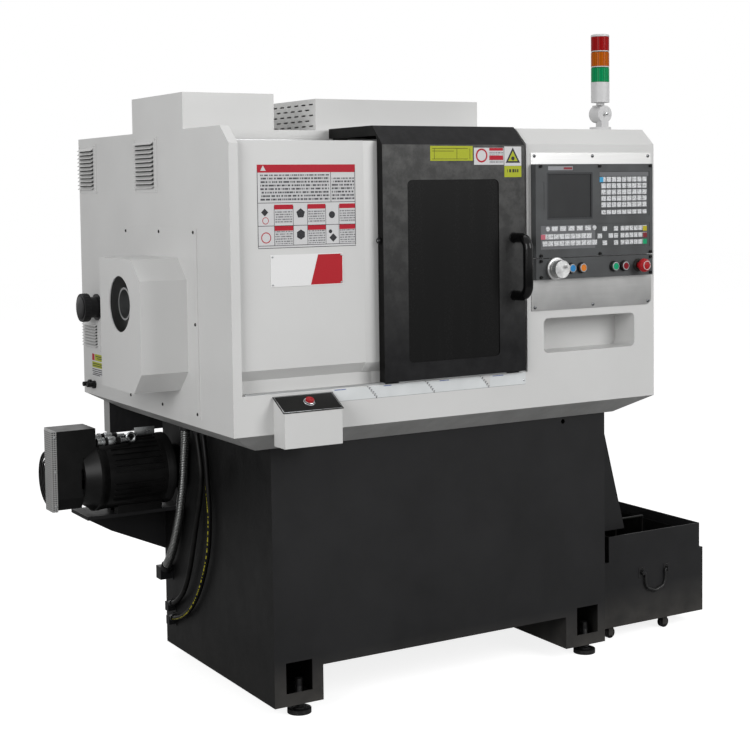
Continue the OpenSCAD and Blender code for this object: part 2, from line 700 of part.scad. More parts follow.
// side view of the door: upright face, chamfer and wrap-over top, t inwards
module door_side(t) {
  back = step_y - 13;
  top = enc_z1 + 3;
  k = t * 0.42;
  polygon([[-door_proud + t, ledge_z + 6], [-door_proud + t, top - chamfer_z - 6 - k],
    [chamfer_y - door_proud + k, top - t], [back, top - t], [back, top - door_depth],
    [-door_proud + door_depth + 7, top - door_depth], [-door_proud + door_depth, top - door_depth - 7],
    [-door_proud + door_depth, ledge_z + 6]]);
}

window_x = door_x + 76;
window_z = ledge_z + 53;

module sliding_door() color("#3a3b3d") placed() {
  shoe_top = ledge_z + 6;
  difference() {
    along_x(door_x, door_x + door_w) door_side(0);
    along_x(door_x + 2.5, door_x + door_w - 2.5) difference() {
      door_side(2.5);
      block2(-40, ledge_z, 40, shoe_top + 2.5);
      block2(step_y - 15.5, panel_top, step_y, enc_z1 + 10);
    }
    along_y(-door_proud - 1, -door_proud + 5) rounded([window_x, window_z], window_w, window_h, 14);
  }
  // glide shoes at the bottom and hangers at the back, each astride its rail
  for (x = [door_x + 12, door_x + door_w - 52]) {
    difference() {
      block([x, 0.5, ledge_z + 0.6], [x + 40, 11.5, shoe_top + 2]);
      block([x - 1, 3.5, ledge_z], [x + 41, 8.5, shoe_top]);
    }
    difference() {
      block([x, step_y - 26, panel_top + 1], [x + 40, step_y - 13, enc_z1 + 1]);
      block([x - 1, step_y - 22.5, panel_top], [x + 41, step_y - 15.5, panel_top + 11]);
    }
  }
}

module door_rails() color("#b9bcbf") placed() {
  rail_x0 = door_x - door_travel - 9;
  block([rail_x0, 4, ledge_z], [cheek_x - 4, 8, ledge_z + 5]);
  block([rail_x0, step_y - 22, panel_top], [cheek_x - 4, step_y - 16, panel_top + 10]);
}

module door_window() color("#1b1d1f") placed()
  along_y(-door_proud + 2.5, -door_proud + 7.5)
    rounded([window_x - 12, window_z - 12], window_w + 24, window_h + 24, 20);

module door_handle() color("#161617") placed() {
  hx = door_x + door_w - 38;
  hz = ledge_z + 297;
  out = door_proud + 65;
  for (s = [-1, 1]) {
    rod_y(-out, -door_proud, hx, hz + s * (handle_len / 2 - 12), 20);
    rod_y(-door_proud - 8, -door_proud, hx, hz + s * (handle_len / 2 - 12), 30);
    translate([hx, -out, hz + s * (handle_len / 2 - 12)]) sphere(d = 28);
  }
  rod_z(hz - handle_len / 2 + 12, hz + handle_len / 2 - 12, hx, -out, 28);
}

// ---- tower light ----

module tower_base() color("#b5b7b9") placed() {
  translate([tower_x, tower_y, enc_z1]) cylinder(h = 9, d = 63);
  rod_z(enc_z1 + 9 - eps, knuckle_z - 25.5, tower_x, tower_y, 26);
  difference() {
    union() {
      rod_y(tower_y - 22, tower_y - seat_gap / 2, tower_x, knuckle_z, 50);
      block([tower_x - 13, tower_y - 22, enc_z1 + 8], [tower_x + 13, tower_y - seat_gap, knuckle_z]);
    }
    rod_y(tower_y - 23, tower_y + 1, tower_x, knuckle_z, 10 + 2 * run_gap);
  }
}

module tower_stem() color("#b5b7b9") placed() {
  rod_y(tower_y + seat_gap / 2, tower_y + 22, tower_x, knuckle_z, 50);
  rod_y(tower_y - 22, tower_y + 1, tower_x, knuckle_z, 10);
  block([tower_x - 12, tower_y + seat_gap, knuckle_z], [tower_x + 12, tower_y + 22, knuckle_z + 26]);
  rod_z(knuckle_z + 25.5, knuckle_z + 34, tower_x, tower_y, 24);
  rod_z(knuckle_z + 34 - eps, knuckle_z + 91, tower_x, tower_y, tower_d);
}

module tower_lenses() color("#cf3b34") placed() {
  z = knuckle_z + 91;
  rod_z(z, z + 40, tower_x, tower_y, tower_d);
  rod_z(z + 40, z + 46, tower_x, tower_y, tower_d - 4);
  rod_z(z + 46, z + 86, tower_x, tower_y, tower_d);
  rod_z(z + 86, z + 91, tower_x, tower_y, tower_d - 4);
  rod_z(z + 91, z + 132, tower_x, tower_y, tower_d);
  translate([tower_x, tower_y, z + 132]) rotate_extrude() polygon([[0, 0], [27, 0], [26, 4], [20, 8], [0, 9.5]]);
}

// ---- spindle line ----

module headstock() color("#6f7a80") placed() difference() {
  union() {
    block([head_x0, 325, bed_top], [head_x1, 500, spindle_z + 20]);
    rod_x(head_x0, head_x1, spindle_y, spindle_z, 175);
    block([head_x0 + 10, 290, bed_top], [head_x1 - 10, 560, bed_top + 28]);
  }
  rod_x(head_x0 - 1, head_x1 + 1, spindle_y, spindle_z, journal_d + 30);
}

// two bearing rings, pressed into the headstock
module spindle_bearings() color("#b9bdc1") placed()
  for (x = [head_x0 + 8, head_x1 - 8 - bearing_w]) difference() {
    rod_x(x, x + bearing_w, spindle_y, spindle_z, journal_d + 30);
    rod_x(x - 1, x + bearing_w + 1, spindle_y, spindle_z, journal_d + 2 * run_gap);
  }

module spindle() color("#c2c5c8") placed() difference() {
  union() {
    rod_x(-121, 40, spindle_y, spindle_z, tail_d);
    rod_x(40 - eps, pulley_x0 - 4, spindle_y, spindle_z, tail_d - 12);
    rod_x(pulley_x0 - 4 - eps, pulley_x0 + pulley_w + 4, spindle_y, spindle_z, journal_d - 14);
    rod_x(pulley_x0 + pulley_w + 4 - eps, head_x1 + 6, spindle_y, spindle_z, journal_d);
    rod_x(head_x1 + 6 - eps, head_x1 + 18, spindle_y, spindle_z, 120);
  }
  rod_x(-122, head_x1 + 19, spindle_y, spindle_z, spindle_bore);
  rod_x(-122, -60, spindle_y, spindle_z, tail_d - 10);
}

// collet nose with its slotted collet
module collet_chuck() color("#8f9397") placed() difference() {
  union() {
    rod_x(head_x1 + 18, head_x1 + 62, spindle_y, spindle_z, 118);
    rod_x(head_x1 + 62 - eps, head_x1 + 84, spindle_y, spindle_z, 84);
    rod_x(head_x1 + 84 - eps, head_x1 + 90, spindle_y, spindle_z, 58);
  }
  rod_x(head_x1 + 17, head_x1 + 91, spindle_y, spindle_z, spindle_bore - 10);
  for (a = [0, 120, 240]) translate([head_x1 + 76, spindle_y, spindle_z]) rotate([a, 0, 0])
    translate([0, -0.75, spindle_bore / 2 - 6]) cube([16, 1.5, 20]);
}

// grooved pulley with flanges
module pulley(x0, y, z, d, bore) {
  difference() {
    union() {
      rod_x(x0, x0 + pulley_w, y, z, d - 6);
      for (x = [x0, x0 + pulley_w - 3]) rod_x(x, x + 3, y, z, d + 8);
    }
    rod_x(x0 - 1, x0 + pulley_w + 1, y, z, bore);
  }
}

module spindle_pulley() color("#a4a8ab") placed()
  pulley(pulley_x0, spindle_y, spindle_z, pulley_spindle_d, journal_d - 14);

module motor_pulley() color("#a4a8ab") placed()
  pulley(pulley_x0, motor_y, motor_z, pulley_motor_d, 38);

// open belt: two straight runs and two wraps, worked out from the two pulleys
belt_span = norm([spindle_y - motor_y, spindle_z - motor_z]);
belt_turn = atan2(spindle_z - motor_z, spindle_y - motor_y);
belt_lean = asin((pulley_motor_d - pulley_spindle_d) / 2 / belt_span);

module belt_outline(r1, r2) {
  a = belt_turn;
  u = [cos(a + 90 + belt_lean), sin(a + 90 + belt_lean)];
  v = [cos(a - 90 - belt_lean), sin(a - 90 - belt_lean)];
  m = [motor_y, motor_z];
  s = [spindle_y, spindle_z];
  translate(m) circle(r1);
  translate(s) circle(r2);
  polygon([m + r1 * u, s + r2 * u, s + r2 * v, m + r1 * v]);
}

module drive_belt() color("#222222") placed()
  along_x(pulley_x0 + 5, pulley_x0 + pulley_w - 5) difference() {
    belt_outline(pulley_motor_d / 2 + 2.5, pulley_spindle_d / 2 + 2.5);
    belt_outline(pulley_motor_d / 2 - 3 + seat_gap, pulley_spindle_d / 2 - 3 + seat_gap);
  }

module motor_body() color("#1a1a1b") placed() difference() {
  body_x1 = motor_x1 - neck_len;
  union() {
    rod_x(motor_x0, body_x1, motor_y, motor_z, motor_d);
    rod_x(body_x1 - eps, motor_x1, motor_y, motor_z, neck_d);
    bell(motor_d / 2);
    for (s = [-1, 1]) block([motor_x0 + 65, motor_y + s * 30 - 14, motor_z - motor_d / 2 - 12],
      [body_x1 - 25, motor_y + s * 30 + 14, motor_z - motor_d / 2 + 34]);
  }
  rod_x(motor_x0 - 1, motor_x1 + 1, motor_y, motor_z, 38 + 2 * run_gap);
  rod_x(motor_x0 - 1, body_x1 - 20, motor_y, motor_z, motor_d - 24);
  bell(motor_d / 2 - 12);
}

// cone at the back end of the motor, r at its wide end
module bell(r) {
  translate([motor_x0 - bell_len, motor_y, motor_z]) rotate([0, 90, 0]) cylinder(h = bell_len + eps, r1 = r - 25, r2 = r);
}

// tall box behind the motor, shorter below, where the motor's bell reaches into it
module cowl_box(t) {
  block([cowl_x0 + t, motor_y - cowl_half + t, motor_z + 60 + t],
    [motor_x0 + (t > 0 ? 1 : 0), motor_y + cowl_half - t, cowl_top - t]);
  along_x(cowl_x0 + t, motor_x0 - bell_len - t) polygon([[motor_y - cowl_half + t, cowl_low + 34 + t / 2],
    [motor_y - cowl_half + 22 + t / 2, cowl_low + t], [motor_y + cowl_half - t, cowl_low + t],
    [motor_y + cowl_half - t, motor_z + 61 + t], [motor_y - cowl_half + t, motor_z + 61 + t]]);
}

module motor_cowl() color("#202021") placed() {
  guard_z = motor_z + 3;
  difference() {
    cowl_box(0);
    cowl_box(4);
    bell(motor_d / 2 + seat_gap);
    rod_x(cowl_x0 - 1, cowl_x0 + 5, motor_y, motor_z, 86);
    rod_x(motor_x0 - bell_len - 5, motor_x0, motor_y, motor_z, 120);
  }
  // round ring guard over the fan's inlet, its front part inside the cap
  intersection() {
    union() {
      for (r = [12 : 13 : 64]) ring_x(cowl_x0 - 11, cowl_x0 - 7, guard_z, r, r + 5);
      ring_x(cowl_x0 - 12, cowl_x0 - 4, guard_z, guard_d / 2 - 4, guard_d / 2);
      for (a = [22.5 : 45 : 337.5]) translate([0, motor_y, guard_z]) rotate([a, 0, 0])
        translate([cowl_x0 - 8, -2.5, 12]) cube([8 + eps, 5, guard_d / 2 - 14]);
    }
    block([guard_x0, motor_y - 30, cowl_low - 40], [cowl_x0 + 1, motor_y + guard_d, cowl_top]);
  }
}

// pale perforated cap on the end of the cowl, its back edge cut away, open low down for the ring guard
module cap_outline(t) {
  polygon([[cowl_x0, motor_y - cowl_half + t * 1.1], [guard_x0 + t, motor_y - cowl_half + 4 + t],
    [guard_x0 + t, motor_y + 9 - t * 0.8], [cowl_x0, motor_y + cowl_half - t * 2.5]]);
}

module fan_guard() color("#b9babb") placed() difference() {
  translate([0, 0, cowl_low]) linear_extrude(cowl_top - cowl_low) cap_outline(0);
  translate([0, 0, cowl_low + 2]) linear_extrude(cowl_top - cowl_low - 4) cap_outline(2);
  block([guard_x0 - 1, motor_y + 10, cowl_low + 5], [cowl_x0 + 1, motor_y + cowl_half + 1, cowl_low + 170]);
}

module ring_x(x0, x1, z, r0, r1) difference() {
  rod_x(x0, x1, motor_y, z, 2 * r1);
  rod_x(x0 - 1, x1 + 1, motor_y, z, 2 * r0);
}

// shaft through the motor with its cooling fan
module motor_rotor() color("#9fa3a6") placed() {
  rod_x(cowl_x0 + 30, pulley_x0 + pulley_w + 6, motor_y, motor_z, 38);
  rod_x(motor_x0 + 40, motor_x1 - 90, motor_y, motor_z, 120);
  rod_x(cowl_x0 + 34, cowl_x0 + 60, motor_y, motor_z, 50);
  for (a = [0 : 60 : 300]) translate([cowl_x0 + 36, motor_y, motor_z]) rotate([a, 0, 0])
    translate([0, -1.5, 24]) cube([22, 3, 21]);
}

// ---- bed and slides ----

module machine_bed() color("#5d666b") placed() difference() {
  union() {
    block([head_x0 - 10, bed_y0, tray_z + sheet + eps], [bed_x1, bed_y1, bed_top]);
    for (y = rail_ys) block([head_x1 + 60, y - rail_w / 2, bed_top - eps], [bed_x1 - 10, y + rail_w / 2,
      bed_top + rail_h]);
  }
  block([head_x0 + 30, bed_y0 + 60, tray_z], [bed_x1 - 60, bed_y1 - 60, bed_top - 40]);
}

module carriage() color("#79838a") placed() {
  difference() {
    block([saddle_x0, rail_ys[0] - 36, saddle_z0], [saddle_x1, rail_ys[1] + 36, saddle_z1]);
    for (y = rail_ys) block([saddle_x0 - 1, y - rail_w / 2 - seat_gap, saddle_z0 - 1],
      [saddle_x1 + 1, y + rail_w / 2 + seat_gap, bed_top + rail_h + seat_gap]);
  }
  for (x = cross_rail_xs) block([x - rail_w / 2, rail_ys[0] - 30, saddle_z1 - eps],
    [x + rail_w / 2, rail_ys[1] + 30, saddle_z1 + rail_h]);
}

module cross_slide() color("#8a949a") placed() difference() {
  block([saddle_x0 + 4, 310, cross_z0], [saddle_x1 - 4, 540, cross_z1]);
  for (x = cross_rail_xs) block([x - rail_w / 2 - seat_gap, 300, cross_z0 - 1],
    [x + rail_w / 2 + seat_gap, 550, saddle_z1 + rail_h + seat_gap]);
}

// gang tool blocks with boring bars pointing at the spindle
module tool_holders() color("#3f4246") placed() for (y = gang_ys) {
  block([saddle_x0 + 14, y - 24, cross_z1], [saddle_x0 + 96, y + 24, spindle_z + 26]);
  rod_x(saddle_x0 - 46, saddle_x0 + 60, y, spindle_z, 20);
}

// ---- hoses ----

module hose(route, d) {
  n = len(route);
  tube(smooth(route, 2), d, 10, [0, 0, -1], unit(route[n - 1] - route[n - 2]));
}

module conduit_hose() color("#9a9b9c") placed() hose(conduit_route, conduit_d);
module black_hose() color("#151515") placed() hose(black_route, black_d);
module striped_hose() color("#1b1c18") placed() hose(striped_route, striped_d);

// ---- chute and coolant car ----

module chute_side(t) {
  z1 = enc_z0 - (enc_w - chute_top_x) * tray_drop / tray_in_x;
  polygon([[base_x1 + t, chute_z0], [base_x1 + t, tray_z], [enc_w - tray_in_x, tray_z],
    [chute_top_x - t, z1], [chute_low_x - t, chute_z0]]);
}

module chip_chute() color("#2a2b2c") placed() difference() {
  along_y(chute_y0, chute_y1) chute_side(0);
  along_y(chute_y0 + 2, chute_y1 - 2) chute_side(2);
  block([base_x1 + 3, chute_y0 + 2, chute_z0 - 1], [chute_low_x - 2, chute_y1 - 2, chute_z0 + 1]);
  block([base_x1 + 3, chute_y0 + 2, tray_z - 3], [chute_top_x - 3, chute_y1 - 2, enc_z0]);
}

module coolant_tank() color("#343536") placed() {
  t = 3;
  difference() {
    union() {
      block([tank_x, tank_y, tank_z], [tank_x1, tank_y + tank_d, tank_top]);
      block([collar_x0, tank_y, tank_z], [collar_x1, tank_y + tank_d, collar_top]);
    }
    block([tank_x + t, tank_y + t, tank_z + t], [tank_x1 - t, tank_y + tank_d - t, tank_top - t]);
    block([collar_x0 + t, tank_y + t, tank_z + t], [collar_x1 - t, tank_y + tank_d - t, collar_top + 1]);
  }
  // caster forks
  for (c = casters) {
    for (s = [-1, 1]) block([c[0] - 9, c[1] + s * 9 - 1.5, 10], [c[0] + 9, c[1] + s * 9 + 1.5, tank_z + eps]);
    rod_y(c[1] - 10, c[1] + 10, c[0], caster_d / 2, 6);
  }
  // ears of the folding handle
  for (s = [-1, 1]) difference() {
    block([grip_x + s * 50 - 5, tank_y - 12, grip_z - 7], [grip_x + s * 50 + 5, tank_y + eps, grip_z + 7]);
    rod_x(grip_x + s * 50 - 6, grip_x + s * 50 + 6, tank_y - 6, grip_z, 6.5 + 2 * run_gap);
  }
}

module chip_basket() color("#3b3c3d") placed() {
  bx0 = collar_x0 + 10;
  bx1 = collar_x1 - 10;
  by0 = tank_y + 12;
  by1 = tank_y + tank_d - 12;
  difference() {
    block([bx0, by0, tank_z + 3 + seat_gap], [bx1, by1, collar_top - 30]);
    block([bx0 + 2, by0 + 2, tank_z + 6], [bx1 - 2, by1 - 2, collar_top]);
  }
  // wire handle across the basket
  hy = tank_y + 170;
  xs = [collar_x1 - 200, collar_x1 - 90];
  for (x = xs) rod_z(tank_z + 5, collar_top + 2, x, hy, 7);
  rod_x(xs[0], xs[1], hy, collar_top + 2, 7);
  for (x = xs) translate([x, hy, collar_top + 2]) sphere(d = 7);
}

// D-shaped bail hanging from two ears
module tank_handle() color("#2b2b2c") placed() {
  low = grip_z - 62;
  rod_x(grip_x - 57, grip_x - 40, tank_y - 6, grip_z, 6.5);
  rod_x(grip_x + 40, grip_x + 57, tank_y - 6, grip_z, 6.5);
  for (s = [-1, 1]) rod_z(low, grip_z, grip_x + s * 40, tank_y - 6, 6.5);
  rod_x(grip_x - 40, grip_x + 40, tank_y - 6, low, 9);
  for (s = [-1, 1]) for (z = [low, grip_z]) translate([grip_x + s * 40, tank_y - 6, z])
    sphere(d = z == low ? 9 : 6.5);
}

module caster(c) {
  difference() {
    rod_y(c[1] - 6.5, c[1] + 6.5, c[0], caster_d / 2, caster_d);
    rod_y(c[1] - 8, c[1] + 8, c[0], caster_d / 2, 6 + 2 * run_gap);
  }
}

module caster_1() color("#161616") placed() caster(casters[0]);
module caster_2() color("#161616") placed() caster(casters[1]);
module caster_3() color("#161616") placed() caster(casters[2]);
module caster_4() color("#161616") placed() caster(casters[3]);

base_cabinet();
base_runners();
motor_bracket();
levelling_feet();
drip_tray();
left_end_panel();
outer_panels();
roof_panel();
front_frame();
front_panel();
end_cover();
louvre_plates();
side_fittings();
roof_boxes();
control_plate();
controller_panel();
screen_glass();
panel_keys();
aux_panel();
handwheel();
blue_button();
orange_button();
green_button();
red_button();
stop_button();
start_box();
start_button();
sliding_door();
door_window();
door_handle();
door_rails();
tower_base();
tower_stem();
tower_lenses();
headstock();
spindle_bearings();
spindle();
collet_chuck();
spindle_pulley();
drive_belt();
motor_pulley();
motor_body();
motor_cowl();
fan_guard();
motor_rotor();
machine_bed();
carriage();
cross_slide();
tool_holders();
conduit_hose();
black_hose();
striped_hose();
chip_chute();
coolant_tank();
chip_basket();
tank_handle();
caster_1();
caster_2();
caster_3();
caster_4();
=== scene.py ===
# Compact enclosed CNC lathe: finishes, hoses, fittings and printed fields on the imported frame.
import math

import bmesh
import bpy
from mathutils import Matrix, Vector


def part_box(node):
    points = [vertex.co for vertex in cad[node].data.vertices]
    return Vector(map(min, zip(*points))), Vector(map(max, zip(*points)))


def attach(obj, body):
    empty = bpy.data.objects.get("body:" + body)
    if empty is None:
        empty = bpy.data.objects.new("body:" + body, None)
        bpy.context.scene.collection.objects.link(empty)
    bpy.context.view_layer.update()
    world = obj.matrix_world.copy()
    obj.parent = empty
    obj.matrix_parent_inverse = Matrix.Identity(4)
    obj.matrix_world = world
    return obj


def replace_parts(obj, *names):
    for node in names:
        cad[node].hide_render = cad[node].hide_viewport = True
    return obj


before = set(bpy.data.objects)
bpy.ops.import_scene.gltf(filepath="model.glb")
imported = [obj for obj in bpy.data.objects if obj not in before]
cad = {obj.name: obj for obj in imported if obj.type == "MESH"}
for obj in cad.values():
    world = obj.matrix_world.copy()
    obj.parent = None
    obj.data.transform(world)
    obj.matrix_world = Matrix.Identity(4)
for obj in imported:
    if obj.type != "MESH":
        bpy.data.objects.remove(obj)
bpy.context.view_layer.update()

# ---- Camera ----
# A long lens a little under roof height, looking at the operator's side with the motor end in view.
camera_data = bpy.data.cameras.new("camera")
camera_data.sensor_width = 36
camera_data.lens = 72.56
camera_data.shift_x = 0.0047
camera_data.shift_y = -0.119
camera_data.clip_end = 60
camera = bpy.data.objects.new("camera", camera_data)
bpy.context.scene.collection.objects.link(camera)
turn, tilt, roll = math.radians(30.46), math.radians(3.64), math.radians(-0.76)
ahead = Vector((math.sin(turn) * math.cos(tilt), math.cos(turn) * math.cos(tilt), -math.sin(tilt)))
level = Vector((math.cos(turn), -math.sin(turn), 0))
upward = level.cross(ahead)
right = level * math.cos(roll) + upward * math.sin(roll)
up = upward * math.cos(roll) - level * math.sin(roll)
camera.matrix_world = Matrix.Translation((-2.319, -3.889, 1.388)) @ Matrix(
    (right, up, -ahead)).transposed().to_4x4()
bpy.context.scene.camera = camera


# ---- Hoses ----
# A strip-wound steel conduit, a plain rubber hose and a rubber hose with a printed line. They are cut
# from the roll, hang free beside the base, and are held only in the glands and the box elbows.
left_front = Vector((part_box("left_end_panel")[0].x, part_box("left_end_panel")[0].y, 0))


def at(x, y, z):
    """A point in millimetres from the enclosure's left front foot, as metres in the frame."""
    return left_front + Vector((x, y, z)) / 1000


def srgb(code):
    """A colour written as #rrggbb, as the linear values that a socket takes."""
    parts = [int(code[i:i + 2], 16) / 255 for i in (1, 3, 5)]
    return [p / 12.92 if p <= 0.04045 else ((p + 0.055) / 1.055) ** 2.4 for p in parts] + [1.0]


def add_node(material, kind, links=None, stops=(), **settings):
    """Adds a node with its settings; links gives each input a value, a #rrggbb colour, another node's
    output, or a node for its first output, and stops gives a colour ramp's places and colours."""
    node = material.node_tree.nodes.new("ShaderNode" + kind)
    for name, value in settings.items():
        setattr(node, name, value)
    for k, (place, code) in enumerate(stops):
        node.color_ramp.elements[k].position, node.color_ramp.elements[k].color = place, srgb(code)
    for socket, value in (links or {}).items():
        value = value.outputs[0] if isinstance(value, bpy.types.Node) else value
        if isinstance(value, bpy.types.NodeSocket):
            material.node_tree.links.new(value, node.inputs[socket])
        else:
            node.inputs[socket].default_value = srgb(value) if isinstance(value, str) else value
    return node


def new_material(name):
    """An empty material, and the Object coordinates that its patterns read."""
    material = bpy.data.materials.new(name)
    material.use_nodes = True
    material.node_tree.nodes.clear()
    return material, add_node(material, "TexCoord").outputs["Object"]


def smooth_route(points, steps):
    """The smooth curve through the hose's points, in equal steps between two of them."""
    curve, last = [], len(points) - 1
    for i in range(last):
        a, b, c, d = points[max(i - 1, 0)], points[i], points[i + 1], points[min(i + 2, last)]
        for t in (k / steps for k in range(steps)):
            curve.append(0.5 * (2 * b + (c - a) * t + (2 * a - 5 * b + 4 * c - d) * t * t
                                + (3 * b - a - 3 * c + d) * t ** 3))
    return curve + [points[last]]


def swept_hose(name, curve, pitch, sides, radius_at, level=(1, 0, 0)):
    """A closed tube along the curve with a ring every pitch, its UV map in turns and metres; level is a
    direction that the curve never runs in."""
    stations, gone = [], 0.0
    for a, b in zip(curve, curve[1:]):
        step = (b - a).length
        while gone <= step:
            stations.append(a.lerp(b, gone / step))
            gone += pitch
        gone -= step
    stations[-1] = curve[-1]
    tube, rings = bmesh.new(), []
    for i, middle in enumerate(stations):
        along = (stations[min(i + 1, len(stations) - 1)] - stations[max(i - 1, 0)]).normalized()
        across = (Vector(level) - along * along.dot(Vector(level))).normalized()
        other = along.cross(across)
        radius = radius_at(i * pitch)
        rings.append([tube.verts.new(middle + radius * (math.cos(2 * math.pi * k / sides) * across
                      + math.sin(2 * math.pi * k / sides) * other)) for k in range(sides)])
    uv = tube.loops.layers.uv.new("turns_and_metres")
    for i in range(len(rings) - 1):
        for k in range(sides):
            n = (k + 1) % sides
            face = tube.faces.new((rings[i][k], rings[i][n], rings[i + 1][n], rings[i + 1][k]))
            for loop, (u, v) in zip(face.loops, ((k, i), (k + 1, i), (k + 1, i + 1), (k, i + 1))):
                loop[uv].uv = (u / sides, v * pitch)
            face.smooth = True
    tube.faces.new(list(reversed(rings[0])))
    tube.faces.new(rings[-1])
    bmesh.ops.recalc_face_normals(tube, faces=tube.faces)
    mesh = bpy.data.meshes.new(name)
    tube.to_mesh(mesh)
    tube.free()
    hose = bpy.data.objects.new(name, mesh)
    bpy.context.scene.collection.objects.link(hose)
    return hose


# Galvanised strip: dull zinc with bright crowns and grime in the grooves.
conduit_strip, spot = new_material("galvanised_strip_wound_conduit")
place = add_node(conduit_strip, "UVMap", uv_map="turns_and_metres")
groove = add_node(conduit_strip, "SeparateXYZ", {"Vector": place})
strip_pitch = 0.005  # one turn of the strip, in metres
turns = add_node(conduit_strip, "Math", {0: groove.outputs["Y"], 1: 2 * math.pi / strip_pitch},
    operation="MULTIPLY")
wave = add_node(conduit_strip, "Math", {0: turns}, operation="COSINE")
patches = add_node(conduit_strip, "TexNoise", {"Vector": spot, "Scale": 350.0, "Detail": 5.0})
crown = add_node(conduit_strip, "Math", {0: wave, 1: patches}, operation="ADD")
zinc = add_node(conduit_strip, "ValToRGB", {"Fac": crown}, stops=[(0.15, "#2c2c2b"), (0.95, "#8b8c8b")])
dull = add_node(conduit_strip, "MapRange", {"Value": patches, "To Min": 0.16, "To Max": 0.34})
skin = add_node(conduit_strip, "BsdfPrincipled", {"Base Color": zinc, "Roughness": dull, "Metallic": 0.9})
add_node(conduit_strip, "OutputMaterial", {"Surface": skin})

# Extruded rubber hose: matt black with a faint cloth mark from the curing wrap and dusty patches.
hose_rubber, spot = new_material("cured_rubber_hose")
dust_and_highlight_tone = add_node(hose_rubber, "TexNoise", {"Vector": spot, "Scale": 40.0, "Detail": 4.0})
black = add_node(hose_rubber, "ValToRGB", {"Fac": dust_and_highlight_tone}, stops=[(0.4, "#080808"), (0.75, "#161615")])
# wrap cloth of 1.2 mm threads, one every 2.4 mm
cloth = add_node(hose_rubber, "TexWave", {"Vector": spot, "Scale": 130.0, "Distortion": 1.5},
    bands_direction="Z")
relief = add_node(hose_rubber, "Bump", {"Height": cloth.outputs["Fac"], "Strength": 0.25,
    "Distance": 0.0003})
skin = add_node(hose_rubber, "BsdfPrincipled", {"Base Color": black, "Roughness": 0.42, "Normal": relief,
    "Specular IOR Level": 0.15})
add_node(hose_rubber, "OutputMaterial", {"Surface": skin})

# The same rubber with a broken yellow line printed along it, its marks 14 to 30 mm long.
lined_rubber, spot = new_material("rubber_hose_with_printed_line")
place = add_node(lined_rubber, "UVMap", uv_map="turns_and_metres")
split = add_node(lined_rubber, "SeparateXYZ", {"Vector": place})
# the hose is twisted, so that its line comes into sight a hand's length below the gland
twist = add_node(lined_rubber, "MapRange", {"Value": split.outputs["Y"], "From Min": 0.06, "From Max": 0.24,
    "To Min": 0.72, "To Max": 0.42})
offset = add_node(lined_rubber, "Math", {0: split.outputs["X"], 1: twist}, operation="SUBTRACT")
near = add_node(lined_rubber, "Math", {0: offset}, operation="ABSOLUTE")
half_line = 0.034  # of a turn, which makes the line 3 mm wide
band = add_node(lined_rubber, "Math", {0: near, 1: half_line}, operation="LESS_THAN")
marks = add_node(lined_rubber, "TexNoise", {"W": split.outputs["Y"], "Scale": 95.0, "Detail": 3.0},
    noise_dimensions="1D")
printed = add_node(lined_rubber, "Math", {0: marks, 1: 0.5}, operation="GREATER_THAN")
line = add_node(lined_rubber, "Math", {0: band, 1: printed}, operation="MULTIPLY")
tone = add_node(lined_rubber, "Mix", {"Factor": line, 6: "#080808", 7: "#a9a026"}, data_type="RGBA")
grain = add_node(lined_rubber, "TexNoise", {"Vector": spot, "Scale": 900.0, "Detail": 2.0})
relief = add_node(lined_rubber, "Bump", {"Height": grain, "Strength": 0.15, "Distance": 0.0002})
skin = add_node(lined_rubber, "BsdfPrincipled", {"Base Color": tone.outputs[2], "Roughness": 0.38,
    "Normal": relief, "Specular IOR Level": 0.15})
add_node(lined_rubber, "OutputMaterial", {"Surface": skin})

conduit_points = [(122, 586, 723), (122, 586, 703), (122, 589, 672), (122, 598, 630), (122, 608, 569),
                  (122, 622, 510), (122, 642, 451), (122, 672, 385), (121, 704, 326), (119, 730, 291),
                  (118, 744, 273)]
plain_points = [(124, 511, 723), (124, 511, 706), (124, 504, 680), (124, 493, 640), (124, 486, 588),
                (124, 500, 515), (124, 525, 450), (124, 555, 365), (124, 590, 282), (124, 632, 222),
                (124, 682, 186), (125, 710, 174), (126, 727, 168)]
lined_points = [(126, 470, 723), (126, 470, 706), (126, 464, 680), (126, 456, 640), (126, 448, 575),
                (126, 441, 520), (126, 440, 465), (126, 448, 400), (126, 464, 350), (126, 498, 285),
                (126, 540, 228), (126, 592, 180), (126, 645, 150), (126, 690, 134), (127, 708, 129.5),
                (127, 725, 126)]
for node, points, width, pitch, finish, slot in (
        ("conduit_hose", conduit_points, 0.027, 0.00125, conduit_strip, "hose_grey"),
        ("black_hose", plain_points, 0.015, 0.004, hose_rubber, "hose_black"),
        ("striped_hose", lined_points, 0.014, 0.004, lined_rubber, "hose_black")):
    curve = smooth_route([at(*p) for p in points], 8)
    stiff = node == "conduit_hose"
    rib = 0.0009 if stiff else 0.0
    hose = swept_hose(node + "_drawn", curve, pitch, 24,
                      lambda s: width / 2 - rib + rib * math.cos(2 * math.pi * s / strip_pitch))
    hose.data.materials.append(finish)
    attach(hose, "machine")
    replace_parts(hose, node)


